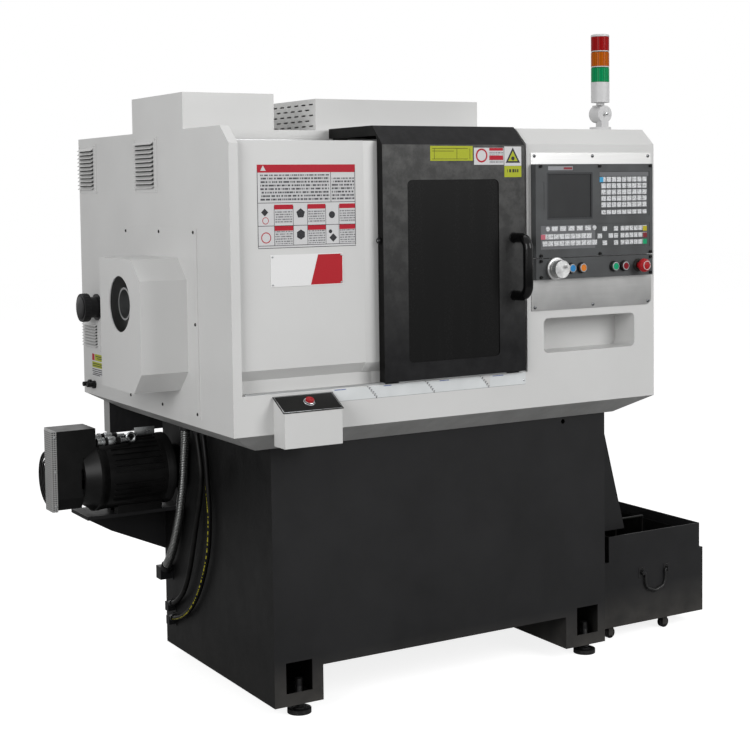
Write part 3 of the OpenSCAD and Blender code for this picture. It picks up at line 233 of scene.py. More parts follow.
# ---- Studio ----
# A pale painted floor that keeps a soft shadow, a white surround and three soft lamps.
screed, spot = new_material("pale_painted_screed")
seen = add_node(screed, "LightPath")
mottle = add_node(screed, "TexNoise", {"Vector": spot, "Scale": 0.5, "Detail": 4.0})
tone = add_node(screed, "MapRange", {"Value": mottle, "To Min": 0.50, "To Max": 0.54})
matt = add_node(screed, "BsdfDiffuse", {"Color": tone})
lift = add_node(screed, "Emission", {"Strength": seen.outputs["Is Camera Ray"],
    "Color": (0.84, 0.84, 0.84, 1)})
both = add_node(screed, "AddShader", {0: matt, 1: lift})
add_node(screed, "OutputMaterial", {"Surface": both})
bpy.ops.object.select_all(action="DESELECT")
bpy.ops.mesh.primitive_plane_add(size=40, location=(0, 0, -0.0005))
floor = bpy.context.object
floor.name = "floor"
floor.data.materials.append(screed)

world = bpy.data.worlds.new("studio")
bpy.context.scene.world = world
world.use_nodes = True
world.node_tree.nodes.clear()
ray = add_node(world, "LightPath")
camera_or_glass = add_node(world, "Math", {0: ray.outputs["Is Camera Ray"],
    1: ray.outputs["Is Transmission Ray"]}, operation="MAXIMUM")
seen_white = add_node(world, "Math", {0: camera_or_glass, 1: ray.outputs["Is Glossy Ray"]},
    operation="MAXIMUM")
ambient = add_node(world, "Background", {"Color": (1, 1, 1, 1), "Strength": 0.30})
surround = add_node(world, "Background", {"Color": (1, 1, 1, 1), "Strength": 1.0})
chosen = add_node(world, "MixShader", {0: seen_white, 1: ambient, 2: surround})
add_node(world, "OutputWorld", {"Surface": chosen})

for name, place, size, power in (("key", (1.9, -4.6, 3.0), 2.4, 122), ("fill", (-4.6, -2.7, 2.5), 2.4, 116),
                                 ("top", (0.2, 0.6, 4.4), 2.6, 34)):
    lamp_data = bpy.data.lights.new(name, "AREA")
    lamp_data.shape, lamp_data.size, lamp_data.energy = "SQUARE", size, power
    lamp = bpy.data.objects.new(name, lamp_data)
    bpy.context.scene.collection.objects.link(lamp)
    lamp.location = place
    lamp.rotation_euler = (Vector((0, 0, 0.9)) - Vector(place)).to_track_quat("-Z", "Y").to_euler()
bpy.context.scene.view_settings.view_transform = "Standard"


# ---- Base cabinet, runners and motor bracket ----
# Folded and welded steel sheet under a fine-textured charcoal powder coat, baked on in one piece; the
# chute, guards and tank are coated in the same shop. Dust settles on the lowest hand's breadth.
def coat(material, pieces):
    """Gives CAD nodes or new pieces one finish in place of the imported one."""
    for piece in pieces:
        mesh = cad[piece].data if isinstance(piece, str) else piece.data
        mesh.materials.clear()
        mesh.materials.append(material)


# Powder coat: even charcoal, a 2.4 mm orange peel, soft handling marks, pale dust low down and painted shade
# on the left faces.
charcoal, spot = new_material("charcoal_powder_coat")
cloudy = add_node(charcoal, "TexNoise", {"Vector": spot, "Scale": 4.0, "Detail": 5.0, "Roughness": 0.6})
body = add_node(charcoal, "ValToRGB", {"Fac": cloudy}, stops=[(0.35, "#1b1b1c"), (0.65, "#212122")])
height = add_node(charcoal, "SeparateXYZ", {"Vector": spot})
low = add_node(charcoal, "MapRange", {"Value": height.outputs["Z"], "From Min": 0.02, "From Max": 0.16,
    "To Min": 0.30, "To Max": 0.0})
drift = add_node(charcoal, "TexNoise", {"Vector": spot, "Scale": 18.0, "Detail": 6.0})
dust_and_highlight_mask = add_node(charcoal, "Math", {0: low, 1: drift}, operation="MULTIPLY")
dusted = add_node(charcoal, "Mix", {"Factor": dust_and_highlight_mask, 6: body, 7: "#8a867f"}, data_type="RGBA")
stretch = add_node(charcoal, "Mapping", {"Vector": spot, "Scale": (5.0, 5.0, 3.2)})
wiped = add_node(charcoal, "TexNoise", {"Vector": stretch, "Scale": 3.0, "Detail": 4.0})
gloss = add_node(charcoal, "MapRange", {"Value": wiped, "From Min": 0.3, "From Max": 0.7, "To Min": 0.40,
    "To Max": 0.56})
peel = add_node(charcoal, "TexNoise", {"Vector": spot, "Scale": 420.0, "Detail": 3.0})
relief = add_node(charcoal, "Bump", {"Height": peel, "Strength": 0.22, "Distance": 0.0006})
# painted shade: the faces turned to the left (-X), towards the motor and the hoses, are darkened to near
# black, less so further right
facing = add_node(charcoal, "NewGeometry")
turned_to = add_node(charcoal, "SeparateXYZ", {"Vector": facing.outputs["True Normal"]})
motor_side = add_node(charcoal, "MapRange", {"Value": turned_to.outputs["X"], "From Min": -0.9,
    "From Max": -0.3, "To Min": 0.88, "To Max": 0.0})
reach = add_node(charcoal, "MapRange", {"Value": height.outputs["X"], "From Min": at(600, 0, 0).x,
    "From Max": at(800, 0, 0).x, "To Min": 1.0, "To Max": 0.15})
painted_shade_mask = add_node(charcoal, "Math", {0: motor_side, 1: reach}, operation="MULTIPLY")
painted_shade_tone = add_node(charcoal, "Mix", {"Factor": painted_shade_mask, 6: dusted.outputs[2], 7: "#060606"}, data_type="RGBA")
skin = add_node(charcoal, "BsdfPrincipled", {"Base Color": painted_shade_tone.outputs[2], "Roughness": gloss,
    "Normal": relief, "Specular IOR Level": 0.2})
add_node(charcoal, "OutputMaterial", {"Surface": skin})
coat(charcoal, ["base_cabinet", "base_runners", "motor_bracket", "chip_chute"])


def place_apart():
    """Nothing selected, so that the next operators act on the new piece only."""
    if bpy.context.object and bpy.context.object.mode != "OBJECT":
        bpy.ops.object.mode_set(mode="OBJECT")
    bpy.ops.object.select_all(action="DESELECT")


def settle(piece, name, material, body="machine", angle=35):
    """Names a finished piece, puts its place in its mesh, and gives it its finish and body."""
    place_apart()
    piece.select_set(True)
    bpy.context.view_layer.objects.active = piece
    bpy.ops.object.transform_apply(location=True, rotation=True, scale=True)
    bpy.ops.object.shade_smooth_by_angle(angle=math.radians(angle))
    piece.name = piece.data.name = name
    coat(material, [piece])
    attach(piece, body)
    return piece


def turned(place, axis, rings, sides=32):
    """A turned piece along axis from place; rings are (distance, radius) in millimetres, end to end."""
    place_apart()
    height, radius = rings[0]
    bpy.ops.mesh.primitive_circle_add(vertices=sides, radius=radius / 1000, fill_type="NGON",
                                      location=(0, 0, height / 1000))
    piece = bpy.context.object
    bpy.ops.object.transform_apply(location=True, rotation=False, scale=False)
    bpy.ops.object.mode_set(mode="EDIT")
    bpy.ops.mesh.select_all(action="SELECT")
    for further, wider in rings[1:]:
        bpy.ops.mesh.extrude_region_move(TRANSFORM_OT_translate={"value": (0, 0, (further - height) / 1000)})
        bpy.ops.transform.resize(value=(wider / radius, wider / radius, 1))
        height, radius = further, wider
    bpy.ops.mesh.select_all(action="SELECT")
    bpy.ops.mesh.normals_make_consistent(inside=False)
    bpy.ops.object.mode_set(mode="OBJECT")
    piece.matrix_world = Matrix.Translation(place) @ Vector(axis).to_track_quat("Z", "Y").to_matrix().to_4x4()
    return piece


def slab(low, high, corner=0.0, lip=0.0):
    """A plate between two points in millimetres with its outline's corners rounded and its rims eased."""
    place_apart()
    a, b = at(*low), at(*high)
    bpy.ops.mesh.primitive_cube_add(size=1, location=(a + b) / 2)
    piece = bpy.context.object
    size = [abs(v) for v in b - a]
    thin = size.index(min(size))
    piece.scale = size
    bpy.ops.object.transform_apply(location=False, rotation=False, scale=True)
    bpy.ops.object.mode_set(mode="EDIT")
    for width, along, steps in ((corner, True, 5), (lip, False, 2)):
        if width:
            shell = bmesh.from_edit_mesh(piece.data)
            for vert in shell.verts:
                vert.select = False
            for edge in shell.edges:
                run = edge.verts[0].co - edge.verts[1].co
                straight = abs(run[thin]) > 0.99 * run.length
                flat_rim = len({round(f.normal[thin] ** 2) for f in edge.link_faces}) == 2
                edge.select = straight if along else flat_rim
            shell.select_flush_mode()
            bmesh.update_edit_mesh(piece.data)
            bpy.ops.mesh.bevel(offset=width / 1000, segments=steps, affect="EDGES", clamp_overlap=True)
    bpy.ops.mesh.select_all(action="SELECT")
    bpy.ops.mesh.normals_make_consistent(inside=False)
    bpy.ops.object.mode_set(mode="OBJECT")
    return piece


def copied(piece, matrix):
    """A copy with its own mesh, moved by the matrix."""
    twin = piece.copy()
    twin.data = piece.data.copy()
    twin.data.transform(matrix @ piece.matrix_world)
    twin.matrix_world = Matrix()
    bpy.context.scene.collection.objects.link(twin)
    return twin


def joined(pieces):
    """Several finished meshes made into one object."""
    place_apart()
    for piece in pieces:
        piece.select_set(True)
    bpy.context.view_layer.objects.active = pieces[0]
    bpy.ops.object.transform_apply(location=True, rotation=True, scale=True)
    if len(pieces) > 1:
        bpy.ops.object.join()
    return bpy.context.object


# ---- Levelling feet ----
# Cast pads with a ball-ended screw and two hexagon nuts each, blackened steel with rubbed rims.
# Blackened steel: near black, thinner on the high spots, a slight oily gloss.
blackened, spot = new_material("blackened_steel")
worn = add_node(blackened, "TexNoise", {"Vector": spot, "Scale": 120.0, "Detail": 6.0, "Roughness": 0.7})
film = add_node(blackened, "ValToRGB", {"Fac": worn}, stops=[(0.45, "#141415"), (0.80, "#2e2d2c")])
oily = add_node(blackened, "MapRange", {"Value": worn, "To Min": 0.32, "To Max": 0.60})
# 0.8 mm cast and filed grain
relief = add_node(blackened, "Bump", {"Height": worn, "Strength": 0.3, "Distance": 0.0004})
skin = add_node(blackened, "BsdfPrincipled", {"Base Color": film, "Metallic": 0.35, "Roughness": oily,
    "Normal": relief})
add_node(blackened, "OutputMaterial", {"Surface": skin})
coat(blackened, ["levelling_feet", "tank_handle", "tool_holders"])

# rolled threads where the screws stand free, and a ribbed rim round each pad
feet_low, feet_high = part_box("levelling_feet")
pad_radius = 0.0325
half_pitch, crest, root = 1.25, 10.7, 10.05
upwards = (0, 0, 1)
threads = []
for x in (feet_low.x + pad_radius, feet_high.x - pad_radius):
    for y in (feet_low.y + pad_radius, feet_high.y - pad_radius):
        for lift, start, count in ((0, 17.2, 5), (0.008, 47.6, 14)):
            ridges = [(start + half_pitch * k, root if k % 2 else crest) for k in range(count)]
            threads.append(turned((x, y, lift), upwards, ridges, 24))
        threads.append(turned((x, y, 0), upwards, [(11.4, 25), (12.4, 31.2), (12.9, 29.5), (12.9, 22)], 40))
settle(joined(threads), "foot_threads_and_rims", blackened, angle=25)


# ---- Spindle motor ----
# A fan-cooled induction motor: die-cast finned housing, steel cowl with a pale perforated cap, two
# plug connectors on top, a drop-forged eye bolt, and four cap screws through slots in the shelf.
# Gloss black enamel sprayed over the casting: deep black with a light orange peel of 3 mm.
enamel, spot = new_material("gloss_black_enamel")
cloudy = add_node(enamel, "TexNoise", {"Vector": spot, "Scale": 22.0, "Detail": 5.0})
body = add_node(enamel, "ValToRGB", {"Fac": cloudy}, stops=[(0.4, "#0d0d0d"), (0.7, "#151515")])
gloss = add_node(enamel, "MapRange", {"Value": cloudy, "To Min": 0.26, "To Max": 0.46})
peel = add_node(enamel, "TexNoise", {"Vector": spot, "Scale": 300.0, "Detail": 2.0})
relief = add_node(enamel, "Bump", {"Height": peel, "Strength": 0.15, "Distance": 0.0005})
skin = add_node(enamel, "BsdfPrincipled", {"Base Color": body, "Roughness": gloss, "Normal": relief,
    "Specular IOR Level": 0.16})
add_node(enamel, "OutputMaterial", {"Surface": skin})
coat(enamel, ["motor_body", "motor_cowl"])

# Perforated cap: pale grey enamel punched with 3 mm holes every 6 mm, dark behind.
punched, spot = new_material("perforated_pale_sheet")
hole_pitch, hole_radius = 0.006, 0.27  # in metres, and as a share of the pitch
cells = add_node(punched, "VectorMath", {0: spot, 1: (1 / hole_pitch,) * 3}, operation="MULTIPLY")
inside = add_node(punched, "VectorMath", {0: cells}, operation="FRACTION")
centred = add_node(punched, "VectorMath", {0: inside, 1: (0.5, 0.5, 0.5)}, operation="SUBTRACT")
facing = add_node(punched, "NewGeometry")
steep = add_node(punched, "VectorMath", {0: facing.outputs["True Normal"]}, operation="ABSOLUTE")
across = add_node(punched, "VectorMath", {0: (1, 1, 1), 1: steep}, operation="SUBTRACT")
flat = add_node(punched, "VectorMath", {0: centred, 1: across}, operation="MULTIPLY")
away = add_node(punched, "VectorMath", {0: flat}, operation="LENGTH")
hole = add_node(punched, "Math", {0: away.outputs["Value"], 1: hole_radius}, operation="LESS_THAN")
tone = add_node(punched, "Mix", {"Factor": hole, 6: "#9b9b9a", 7: "#171717"}, data_type="RGBA")
relief = add_node(punched, "Bump", {"Height": hole, "Strength": 0.6, "Distance": 0.0008}, invert=True)
skin = add_node(punched, "BsdfPrincipled", {"Base Color": tone.outputs[2], "Roughness": 0.45,
    "Normal": relief})
add_node(punched, "OutputMaterial", {"Surface": skin})
coat(punched, ["fan_guard"])

# Bright zinc plate: pale metal with slightly blue patches, for screws, plugs and the eye bolt.
zinc_plate, spot = new_material("bright_zinc_plate")
patches = add_node(zinc_plate, "TexNoise", {"Vector": spot, "Scale": 60.0, "Detail": 3.0})
tint = add_node(zinc_plate, "ValToRGB", {"Fac": patches}, stops=[(0, "#9fa2a4"), (1, "#bfc1c0")])
dull = add_node(zinc_plate, "MapRange", {"Value": patches, "To Min": 0.18, "To Max": 0.40})
skin = add_node(zinc_plate, "BsdfPrincipled", {"Base Color": tint, "Metallic": 1.0, "Roughness": dull})
add_node(zinc_plate, "OutputMaterial", {"Surface": skin})

motor_low, motor_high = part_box("motor_body")
barrel_x = motor_low.x + 0.038
axle = Vector((0, (motor_low.y + motor_high.y) / 2, motor_high.z - 0.100))
# one tapered cooling fin, drawn out along the barrel, then set round it every 10 degrees; there is none
# on the four quarter lines and none over the shelf
fins, fin_step = [], math.radians(10)
place_apart()
bpy.ops.mesh.primitive_cube_add(size=1, location=(barrel_x + 0.112, axle.y, axle.z + 0.1015))
fin = bpy.context.object
fin.scale = (0.150, 0.0042, 0.007)
bpy.ops.object.transform_apply(location=True, rotation=False, scale=True)
bpy.ops.object.mode_set(mode="EDIT")
shell = bmesh.from_edit_mesh(fin.data)
for face in shell.faces:
    face.select = face.normal.z > 0.9
bmesh.update_edit_mesh(fin.data)
bpy.ops.transform.resize(value=(0.94, 0.45, 1))
bpy.ops.object.mode_set(mode="OBJECT")
for k in range(36):
    if k % 9 == 0 or 13 < k < 23:
        continue
    spin = (Matrix.Translation((0, axle.y, axle.z)) @ Matrix.Rotation(fin_step * k, 4, "X")
            @ Matrix.Translation((0, -axle.y, -axle.z)))
    fins.append(copied(fin, spin))
bpy.data.objects.remove(fin)
# end bells: a stepped ring at each end of the barrel
for x, way in ((barrel_x + 0.0005, 1), (barrel_x + 0.2245, -1)):
    fins.append(turned((x, axle.y, axle.z), (way, 0, 0),
                       [(0, 100.6), (0, 103), (12, 103), (15, 101.2), (22, 101.2), (24, 100.2)], 64))
settle(joined(fins), "motor_fins_and_bells", enamel)

# eye bolt: a ring, thickened at its foot, on a turned shank
ring_mid = Vector((barrel_x + 0.110, axle.y - 0.040, motor_high.z + 0.004))
place_apart()
bpy.ops.mesh.primitive_torus_add(major_radius=0.0125, minor_radius=0.0035, major_segments=32,
                                 minor_segments=12, location=ring_mid, rotation=(math.radians(90), 0, 0))
eye = bpy.context.object
bpy.ops.object.transform_apply(location=True, rotation=True, scale=True)
bpy.ops.object.mode_set(mode="EDIT")
shell = bmesh.from_edit_mesh(eye.data)
for vert in shell.verts:
    vert.select = vert.co.z < ring_mid.z - 0.008
shell.select_flush_mode()
bmesh.update_edit_mesh(eye.data)
bpy.ops.transform.resize(value=(1.25, 1.3, 1))
bpy.ops.object.mode_set(mode="OBJECT")
shank = turned((ring_mid.x, ring_mid.y, motor_high.z - 0.020), upwards,
               [(0, 9), (3, 11), (5.5, 11), (7, 7), (10, 5)], 24)
settle(joined([eye, shank]), "motor_eye_bolt", zinc_plate)

# two screwed plug connectors in front of the eye bolt, with black sleeves, on a low terminal block
plugs, sleeves = [], []
rightwards = (1, 0, 0)
for dy, dz, long in ((-52, 12, 96), (-24, 20, 92)):
    start = Vector((barrel_x + 0.004, axle.y + dy / 1000, motor_high.z - 0.012 + dz / 1000))
    plugs.append(turned(start, rightwards, [(0, 10.5), (12, 10.5), (12.4, 13), (20, 13), (20.4, 11), (30, 11),
                 (30.4, 13.4), (33, 14), (49, 14), (52, 13.4), (52.4, 10.6), (70, 10.2), (70.6, 7),
                 (long, 6.4)], 24))
    for a, b, radius in ((21, 30, 11.8), (52.4, 68, 11.2)):
        sleeves.append(turned(start, rightwards, [(a, radius - 1), (a + 0.6, radius), (b - 0.6, radius),
                       (b, radius - 1)], 24))
settle(joined(plugs), "motor_plug_connectors", zinc_plate)
settle(joined(sleeves), "motor_plug_sleeves", enamel)
settle(slab((-119, 640, 663), (-30, 700, 676), 4, 1.2), "motor_terminal_block", enamel)
# galvanised strap that holds the cables over the barrel
settle(slab((18, 716, 677), (80, 718.5, 706), 3, 0.6), "motor_cable_strap", zinc_plate)


# ---- Cap screws ----
# Socket and pan-head screws are cold-headed and driven home; their heads show as small dark or bright
# buttons. Each kind is made once, with its drive sunk in, and copied to its holes.
def driven(head, drive):
    """Cuts a hexagon or cross drive into a screw head lying along +Z, then returns the head."""
    place_apart()
    head.select_set(True)
    bpy.context.view_layer.objects.active = head
    cut = head.modifiers.new("drive", "BOOLEAN")
    cut.operation, cut.object, cut.solver = "DIFFERENCE", drive, "EXACT"
    bpy.ops.object.modifier_apply(modifier="drive")
    bpy.data.objects.remove(drive)
    return head


socket = turned((0, 0, 0), upwards, [(-1, 6.0), (6.6, 6.0), (7.4, 5.2), (7.4, 3.4)], 24)
key_hole = turned((0, 0, 0), upwards, [(4.0, 2.9), (9.0, 2.9)], 6)
socket_head = driven(socket, key_hole)
pan = turned((0, 0, 0), upwards, [(-0.6, 4.4), (0.6, 4.5), (1.8, 3.7), (2.4, 2.2), (2.5, 0.8)], 20)
place_apart()
bpy.ops.mesh.primitive_cube_add(size=1, location=(0, 0, 0.0022))
cross = bpy.context.object
cross.scale = (0.0048, 0.0011, 0.0022)
bpy.ops.object.transform_apply(location=True, rotation=False, scale=True)
other = copied(cross, Matrix.Rotation(math.radians(90), 4, "Z"))
pan_head = driven(driven(pan, cross), other)
forward = (0, -1, 0)


def screws(name, head, places, material, size=1.0, axis=forward, body="machine"):
    """Copies of a screw head at points in millimetres, standing along axis, joined into one piece."""
    stand = Vector(axis).to_track_quat("Z", "Y").to_matrix().to_4x4()
    row = [copied(head, Matrix.Translation(at(*p)) @ stand @ Matrix.Rotation(0.7 * k, 4, "Z")
                  @ Matrix.Scale(size, 4)) for k, p in enumerate(places)]
    return settle(joined(row), name, material, body, 30)


def edge_of(node, corner, axis):
    """A coordinate of a node's lowest (0) or highest (1) corner, in millimetres from the left front foot."""
    return (getattr(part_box(node)[corner], axis) - getattr(left_front, axis)) * 1000


screws("motor_foot_screws", socket_head, [(x, y, 520) for x in (-42, 62) for y in (660, 744)],
       zinc_plate, 1.3, upwards)
guard_x = edge_of("fan_guard", 0, "x")
screws("fan_guard_screws", pan_head, [(guard_x + 9, 649, z) for z in (516, 613, 710)], zinc_plate,
       0.75)


# ---- Drip tray ----
# A folded and seam-welded pan that hangs under the enclosure, sprayed satin grey.
# Satin grey enamel: mid grey, a 3 mm spray mottle, and thin oil trails that run down the slopes.
tray_grey, spot = new_material("satin_grey_enamel")
mottle = add_node(tray_grey, "TexNoise", {"Vector": spot, "Scale": 9.0, "Detail": 6.0})
body = add_node(tray_grey, "ValToRGB", {"Fac": mottle}, stops=[(0.35, "#949493"), (0.65, "#a0a09f")])
trail = add_node(tray_grey, "Mapping", {"Vector": spot, "Scale": (40.0, 40.0, 3.0)})
runs = add_node(tray_grey, "TexNoise", {"Vector": trail, "Scale": 1.0, "Detail": 3.0})
gloss = add_node(tray_grey, "MapRange", {"Value": runs, "From Min": 0.35, "From Max": 0.65, "To Min": 0.34,
    "To Max": 0.52})
peel = add_node(tray_grey, "TexNoise", {"Vector": spot, "Scale": 330.0, "Detail": 2.0})
relief = add_node(tray_grey, "Bump", {"Height": peel, "Strength": 0.15, "Distance": 0.0005})
# the strip along its back under the cable duct is drawn dark grey, except its end faces turned to -X
place = add_node(tray_grey, "SeparateXYZ", {"Vector": spot})
at_back = add_node(tray_grey, "MapRange", {"Value": place.outputs["Y"], "From Min": at(0, 1022, 0).y,
    "From Max": at(0, 1025, 0).y})
below = add_node(tray_grey, "MapRange", {"Value": place.outputs["Z"], "From Min": 0.756, "From Max": 0.760,
    "To Min": 1.0, "To Max": 0.0})
duct = add_node(tray_grey, "Math", {0: at_back, 1: below}, operation="MULTIPLY")
facing = add_node(tray_grey, "NewGeometry")
turned_to = add_node(tray_grey, "SeparateXYZ", {"Vector": facing.outputs["True Normal"]})
not_end = add_node(tray_grey, "MapRange", {"Value": turned_to.outputs["X"], "From Min": -0.9,
    "From Max": -0.6})
walls = add_node(tray_grey, "Math", {0: duct, 1: not_end}, operation="MULTIPLY")
dark_back_tone = add_node(tray_grey, "Mix", {"Factor": walls, 6: body, 7: "#262627"}, data_type="RGBA")
skin = add_node(tray_grey, "BsdfPrincipled", {"Base Color": dark_back_tone.outputs[2], "Roughness": gloss,
    "Normal": relief})
add_node(tray_grey, "OutputMaterial", {"Surface": skin})
coat(tray_grey, ["drip_tray"])


# ---- Sheet-metal enclosure ----
# Laser-cut and folded 3 mm panels in off-white powder coat, screwed together from inside; the end
# cover over the belt drive comes off, on seven screws.
# Off-white powder coat: satin, a 2.6 mm orange peel, hand smudges in the gloss and a trace of grey dirt.
white_coat, spot = new_material("off_white_powder_coat")
cloudy = add_node(white_coat, "TexNoise", {"Vector": spot, "Scale": 2.6, "Detail": 5.0, "Roughness": 0.55})
body = add_node(white_coat, "ValToRGB", {"Fac": cloudy}, stops=[(0.30, "#cbcbca"), (0.70, "#d1d1d0")])
dirt = add_node(white_coat, "TexNoise", {"Vector": spot, "Scale": 60.0, "Detail": 8.0, "Roughness": 0.7})
speck = add_node(white_coat, "MapRange", {"Value": dirt, "From Min": 0.66, "From Max": 0.80, "To Min": 0.0,
    "To Max": 0.25})
dirt_and_shade_tone = add_node(white_coat, "Mix", {"Factor": speck, 6: body, 7: "#a9a8a5"}, data_type="RGBA")
smudge = add_node(white_coat, "TexNoise", {"Vector": spot, "Scale": 7.0, "Detail": 6.0})
gloss = add_node(white_coat, "MapRange", {"Value": smudge, "From Min": 0.3, "From Max": 0.7, "To Min": 0.33,
    "To Max": 0.47})
peel = add_node(white_coat, "TexNoise", {"Vector": spot, "Scale": 380.0, "Detail": 2.0})
relief = add_node(white_coat, "Bump", {"Height": peel, "Strength": 0.10, "Distance": 0.0004})
skin = add_node(white_coat, "BsdfPrincipled", {"Base Color": dirt_and_shade_tone.outputs[2], "Roughness": gloss,
    "Normal": relief, "Specular IOR Level": 0.4})
add_node(white_coat, "OutputMaterial", {"Surface": skin})
coat(white_coat, ["left_end_panel", "outer_panels", "roof_panel", "front_frame", "front_panel", "end_cover",
                  "louvre_plates", "roof_boxes", "start_box"])

cover_x = edge_of("end_cover", 1, "x") - 3
leftwards = (-1, 0, 0)
screws("end_cover_screws", pan_head, [(cover_x, y, z) for y, z in (
       (693, 1280), (449, 1282), (219, 1283), (216, 1043), (213, 808), (447, 808), (682, 808))],
       blackened, axis=leftwards)


# ---- Printed sheets ----
# Screen-printed vinyl and enamelled aluminium sheets on the fixed panel: fields and bars of plain
# colour stand for the notices, and nothing on them can be read.
def ink(name, code, worn, strength):
    """Screen ink on vinyl: even colour, fine dots of thin print and a soft satin gloss."""
    material, spot = new_material(name)
    thin = add_node(material, "TexNoise", {"Vector": spot, "Scale": 700.0, "Detail": 3.0})
    share = add_node(material, "MapRange", {"Value": thin, "From Min": 0.45, "From Max": 0.75,
        "To Min": 0.0, "To Max": strength})
    tone = add_node(material, "Mix", {"Factor": share, 6: code, 7: worn}, data_type="RGBA")
    sheen = add_node(material, "MapRange", {"Value": thin, "To Min": 0.35, "To Max": 0.55})
    skin = add_node(material, "BsdfPrincipled", {"Base Color": tone.outputs[2], "Roughness": sheen,
        "Specular IOR Level": 0.15})
    add_node(material, "OutputMaterial", {"Surface": skin})
    return material


red_ink = ink("red_screen_ink", "#b01f30", "#5a0f18", 0.3)
black_ink = ink("black_screen_ink", "#26262a", "#8f8f90", 0.25)
pale_ink = ink("pale_vinyl", "#cfcfd0", "#a9a9aa", 0.4)
yellow_ink = ink("yellow_green_screen_ink", "#aab12f", "#7a7c20", 0.35)


def lines_of_print(name, pitch, share, paper, bar):
    """Vinyl with rows of dark bars for words of 2 to 9 mm; pitch is the row spacing in metres, and share is
    the part of it that a bar fills."""
    material, spot = new_material(name)
    split = add_node(material, "SeparateXYZ", {"Vector": spot})
    row = add_node(material, "Math", {0: split.outputs["Z"], 1: pitch}, operation="DIVIDE")
    within = add_node(material, "Math", {0: row}, operation="FRACT")
    number = add_node(material, "Math", {0: row}, operation="FLOOR")
    inked = add_node(material, "Math", {0: within, 1: share}, operation="LESS_THAN")
    row_shift = 3.7  # metres between the words of two rows, so that no row repeats the last
    apart = add_node(material, "Math", {0: number, 1: row_shift}, operation="MULTIPLY")
    words = add_node(material, "Math", {0: split.outputs["X"], 1: apart}, operation="ADD")
    letter = add_node(material, "TexNoise", {"W": words, "Scale": 1.9 / pitch, "Detail": 1.0},
        noise_dimensions="1D")
    word = add_node(material, "Math", {0: letter, 1: 0.45}, operation="GREATER_THAN")
    mark = add_node(material, "Math", {0: inked, 1: word}, operation="MULTIPLY")
    tone = add_node(material, "Mix", {"Factor": mark, 6: paper, 7: bar}, data_type="RGBA")
    skin = add_node(material, "BsdfPrincipled", {"Base Color": tone.outputs[2], "Roughness": 0.42,
        "Specular IOR Level": 0.15})
    add_node(material, "OutputMaterial", {"Surface": skin})
    return material


notice_print = lines_of_print("notice_print", 0.0088, 0.50, "#c3c3c4", "#4c4c50")
small_print = lines_of_print("small_notice_print", 0.0062, 0.45, "#c3c3c4", "#6b6b6e")


def sheets(name, boxes, face, material, proud=0.5, body="machine"):
    """Thin printed fields in the plane y = face as one piece, each (x0, z0, x1, z1) and perhaps its corners'
    radius; proud is how far they stand out of the plane."""
    row = [slab((x0, face - proud, z0), (x1, face - proud + 0.2, z1), *corner)
           for x0, z0, x1, z1, *corner in boxes]
    return settle(joined(row), name, material, body)


panel_face = edge_of("front_panel", 0, "y")
sheets("notice_backing", [(84, 1243, 367, 1454, 6)], panel_face, pale_ink, 0.3)
sheets("notice_heading", [(84, 1434, 367, 1454, 4)] + [
    (x, z, x + w, z + 12) for z in (1341, 1287) for x, w in ((131, 53), (226, 52), (319, 48))],
    panel_face, red_ink)
sheets("notice_text", [(93, 1362, 290, 1429), (298, 1362, 364, 1420)], panel_face, notice_print)
sheets("notice_small_text", [(x, z, x + w, z + 33) for z in (1306, 1253)
       for x, w in ((133, 49), (228, 48), (320, 45))], panel_face, small_print)
rules = [(84, z, 367, z + 1.4) for z in (1357, 1299, 1249, 1243)]
rules += [(84, 1246, 85.4, 1440), (365.6, 1246, 367, 1440), (294, 1358, 295.4, 1434)]
rules += [(x, z, x + 1.2, z + 49) for z in (1301, 1250) for x in (130, 184, 225, 278, 317)]
sheets("notice_rules", rules, panel_face, black_ink, 0.55)


def spots(name, places, face, material, body="machine"):
    """Round or cornered printed marks (x, z, radius, sides, proud) in the plane y = face, as one piece."""
    row = [turned(at(x, face - proud + 0.2, z), forward, [(0, radius), (0.15, radius)], sides)
           for x, z, radius, sides, proud in places]
    return settle(joined(row), name, material, body)


spots("notice_marks", [(107, 1270, 14, 32, 0.5), (106, 1313, 9, 32, 0.5)], panel_face, red_ink)
spots("notice_mark_centres", [(107, 1270, 11.5, 32, 0.6), (106, 1313, 7.2, 32, 0.6), (101, 1443, 9, 3, 0.7)],
      panel_face, pale_ink)
spots("notice_dark_marks", [(104, 1334, 10, 4, 0.5), (206, 1330, 13, 5, 0.5), (206, 1276, 13, 6, 0.5),
      (297, 1325, 9, 24, 0.5), (300, 1266, 11, 4, 0.5), (292, 1282, 5, 24, 0.5)], panel_face, black_ink)

# enamelled plate under the notice: white field, red field with a slanted edge, four round-head screws
plate_white = ink("white_plate_enamel", "#e4e4e4", "#c9c9c9", 0.3)
plate_red = ink("red_plate_enamel", "#b0222c", "#8a1a20", 0.4)
name_plate = slab((118, panel_face - 1.6, 1145), (327, panel_face + 0.1, 1226), 1.5, 0.3)
settle(name_plate, "two_colour_plate", plate_white)


def leaned(piece, high_by, left_only=False):
    """Moves a sheet's upper corners, or the left one only, sideways by so many millimetres."""
    place_apart()
    piece.select_set(True)
    bpy.context.view_layer.objects.active = piece
    bpy.ops.object.mode_set(mode="EDIT")
    shell = bmesh.from_edit_mesh(piece.data)
    for vert in shell.verts:
        vert.select = vert.co.z > 0 and not (left_only and vert.co.x > 0)
    shell.select_flush_mode()
    bmesh.update_edit_mesh(piece.data)
    bpy.ops.transform.translate(value=(high_by / 1000, 0, 0))
    bpy.ops.object.mode_set(mode="OBJECT")
    return piece


field = slab((232, panel_face - 1.75, 1147), (325, panel_face - 1.5, 1224))
settle(leaned(field, 22, True), "red_field_of_plate", plate_red)
screws("two_colour_plate_screws", pan_head, [(x, panel_face - 1.6, z) for x in (123, 322)
       for z in (1150, 1221)], zinc_plate, 0.62)


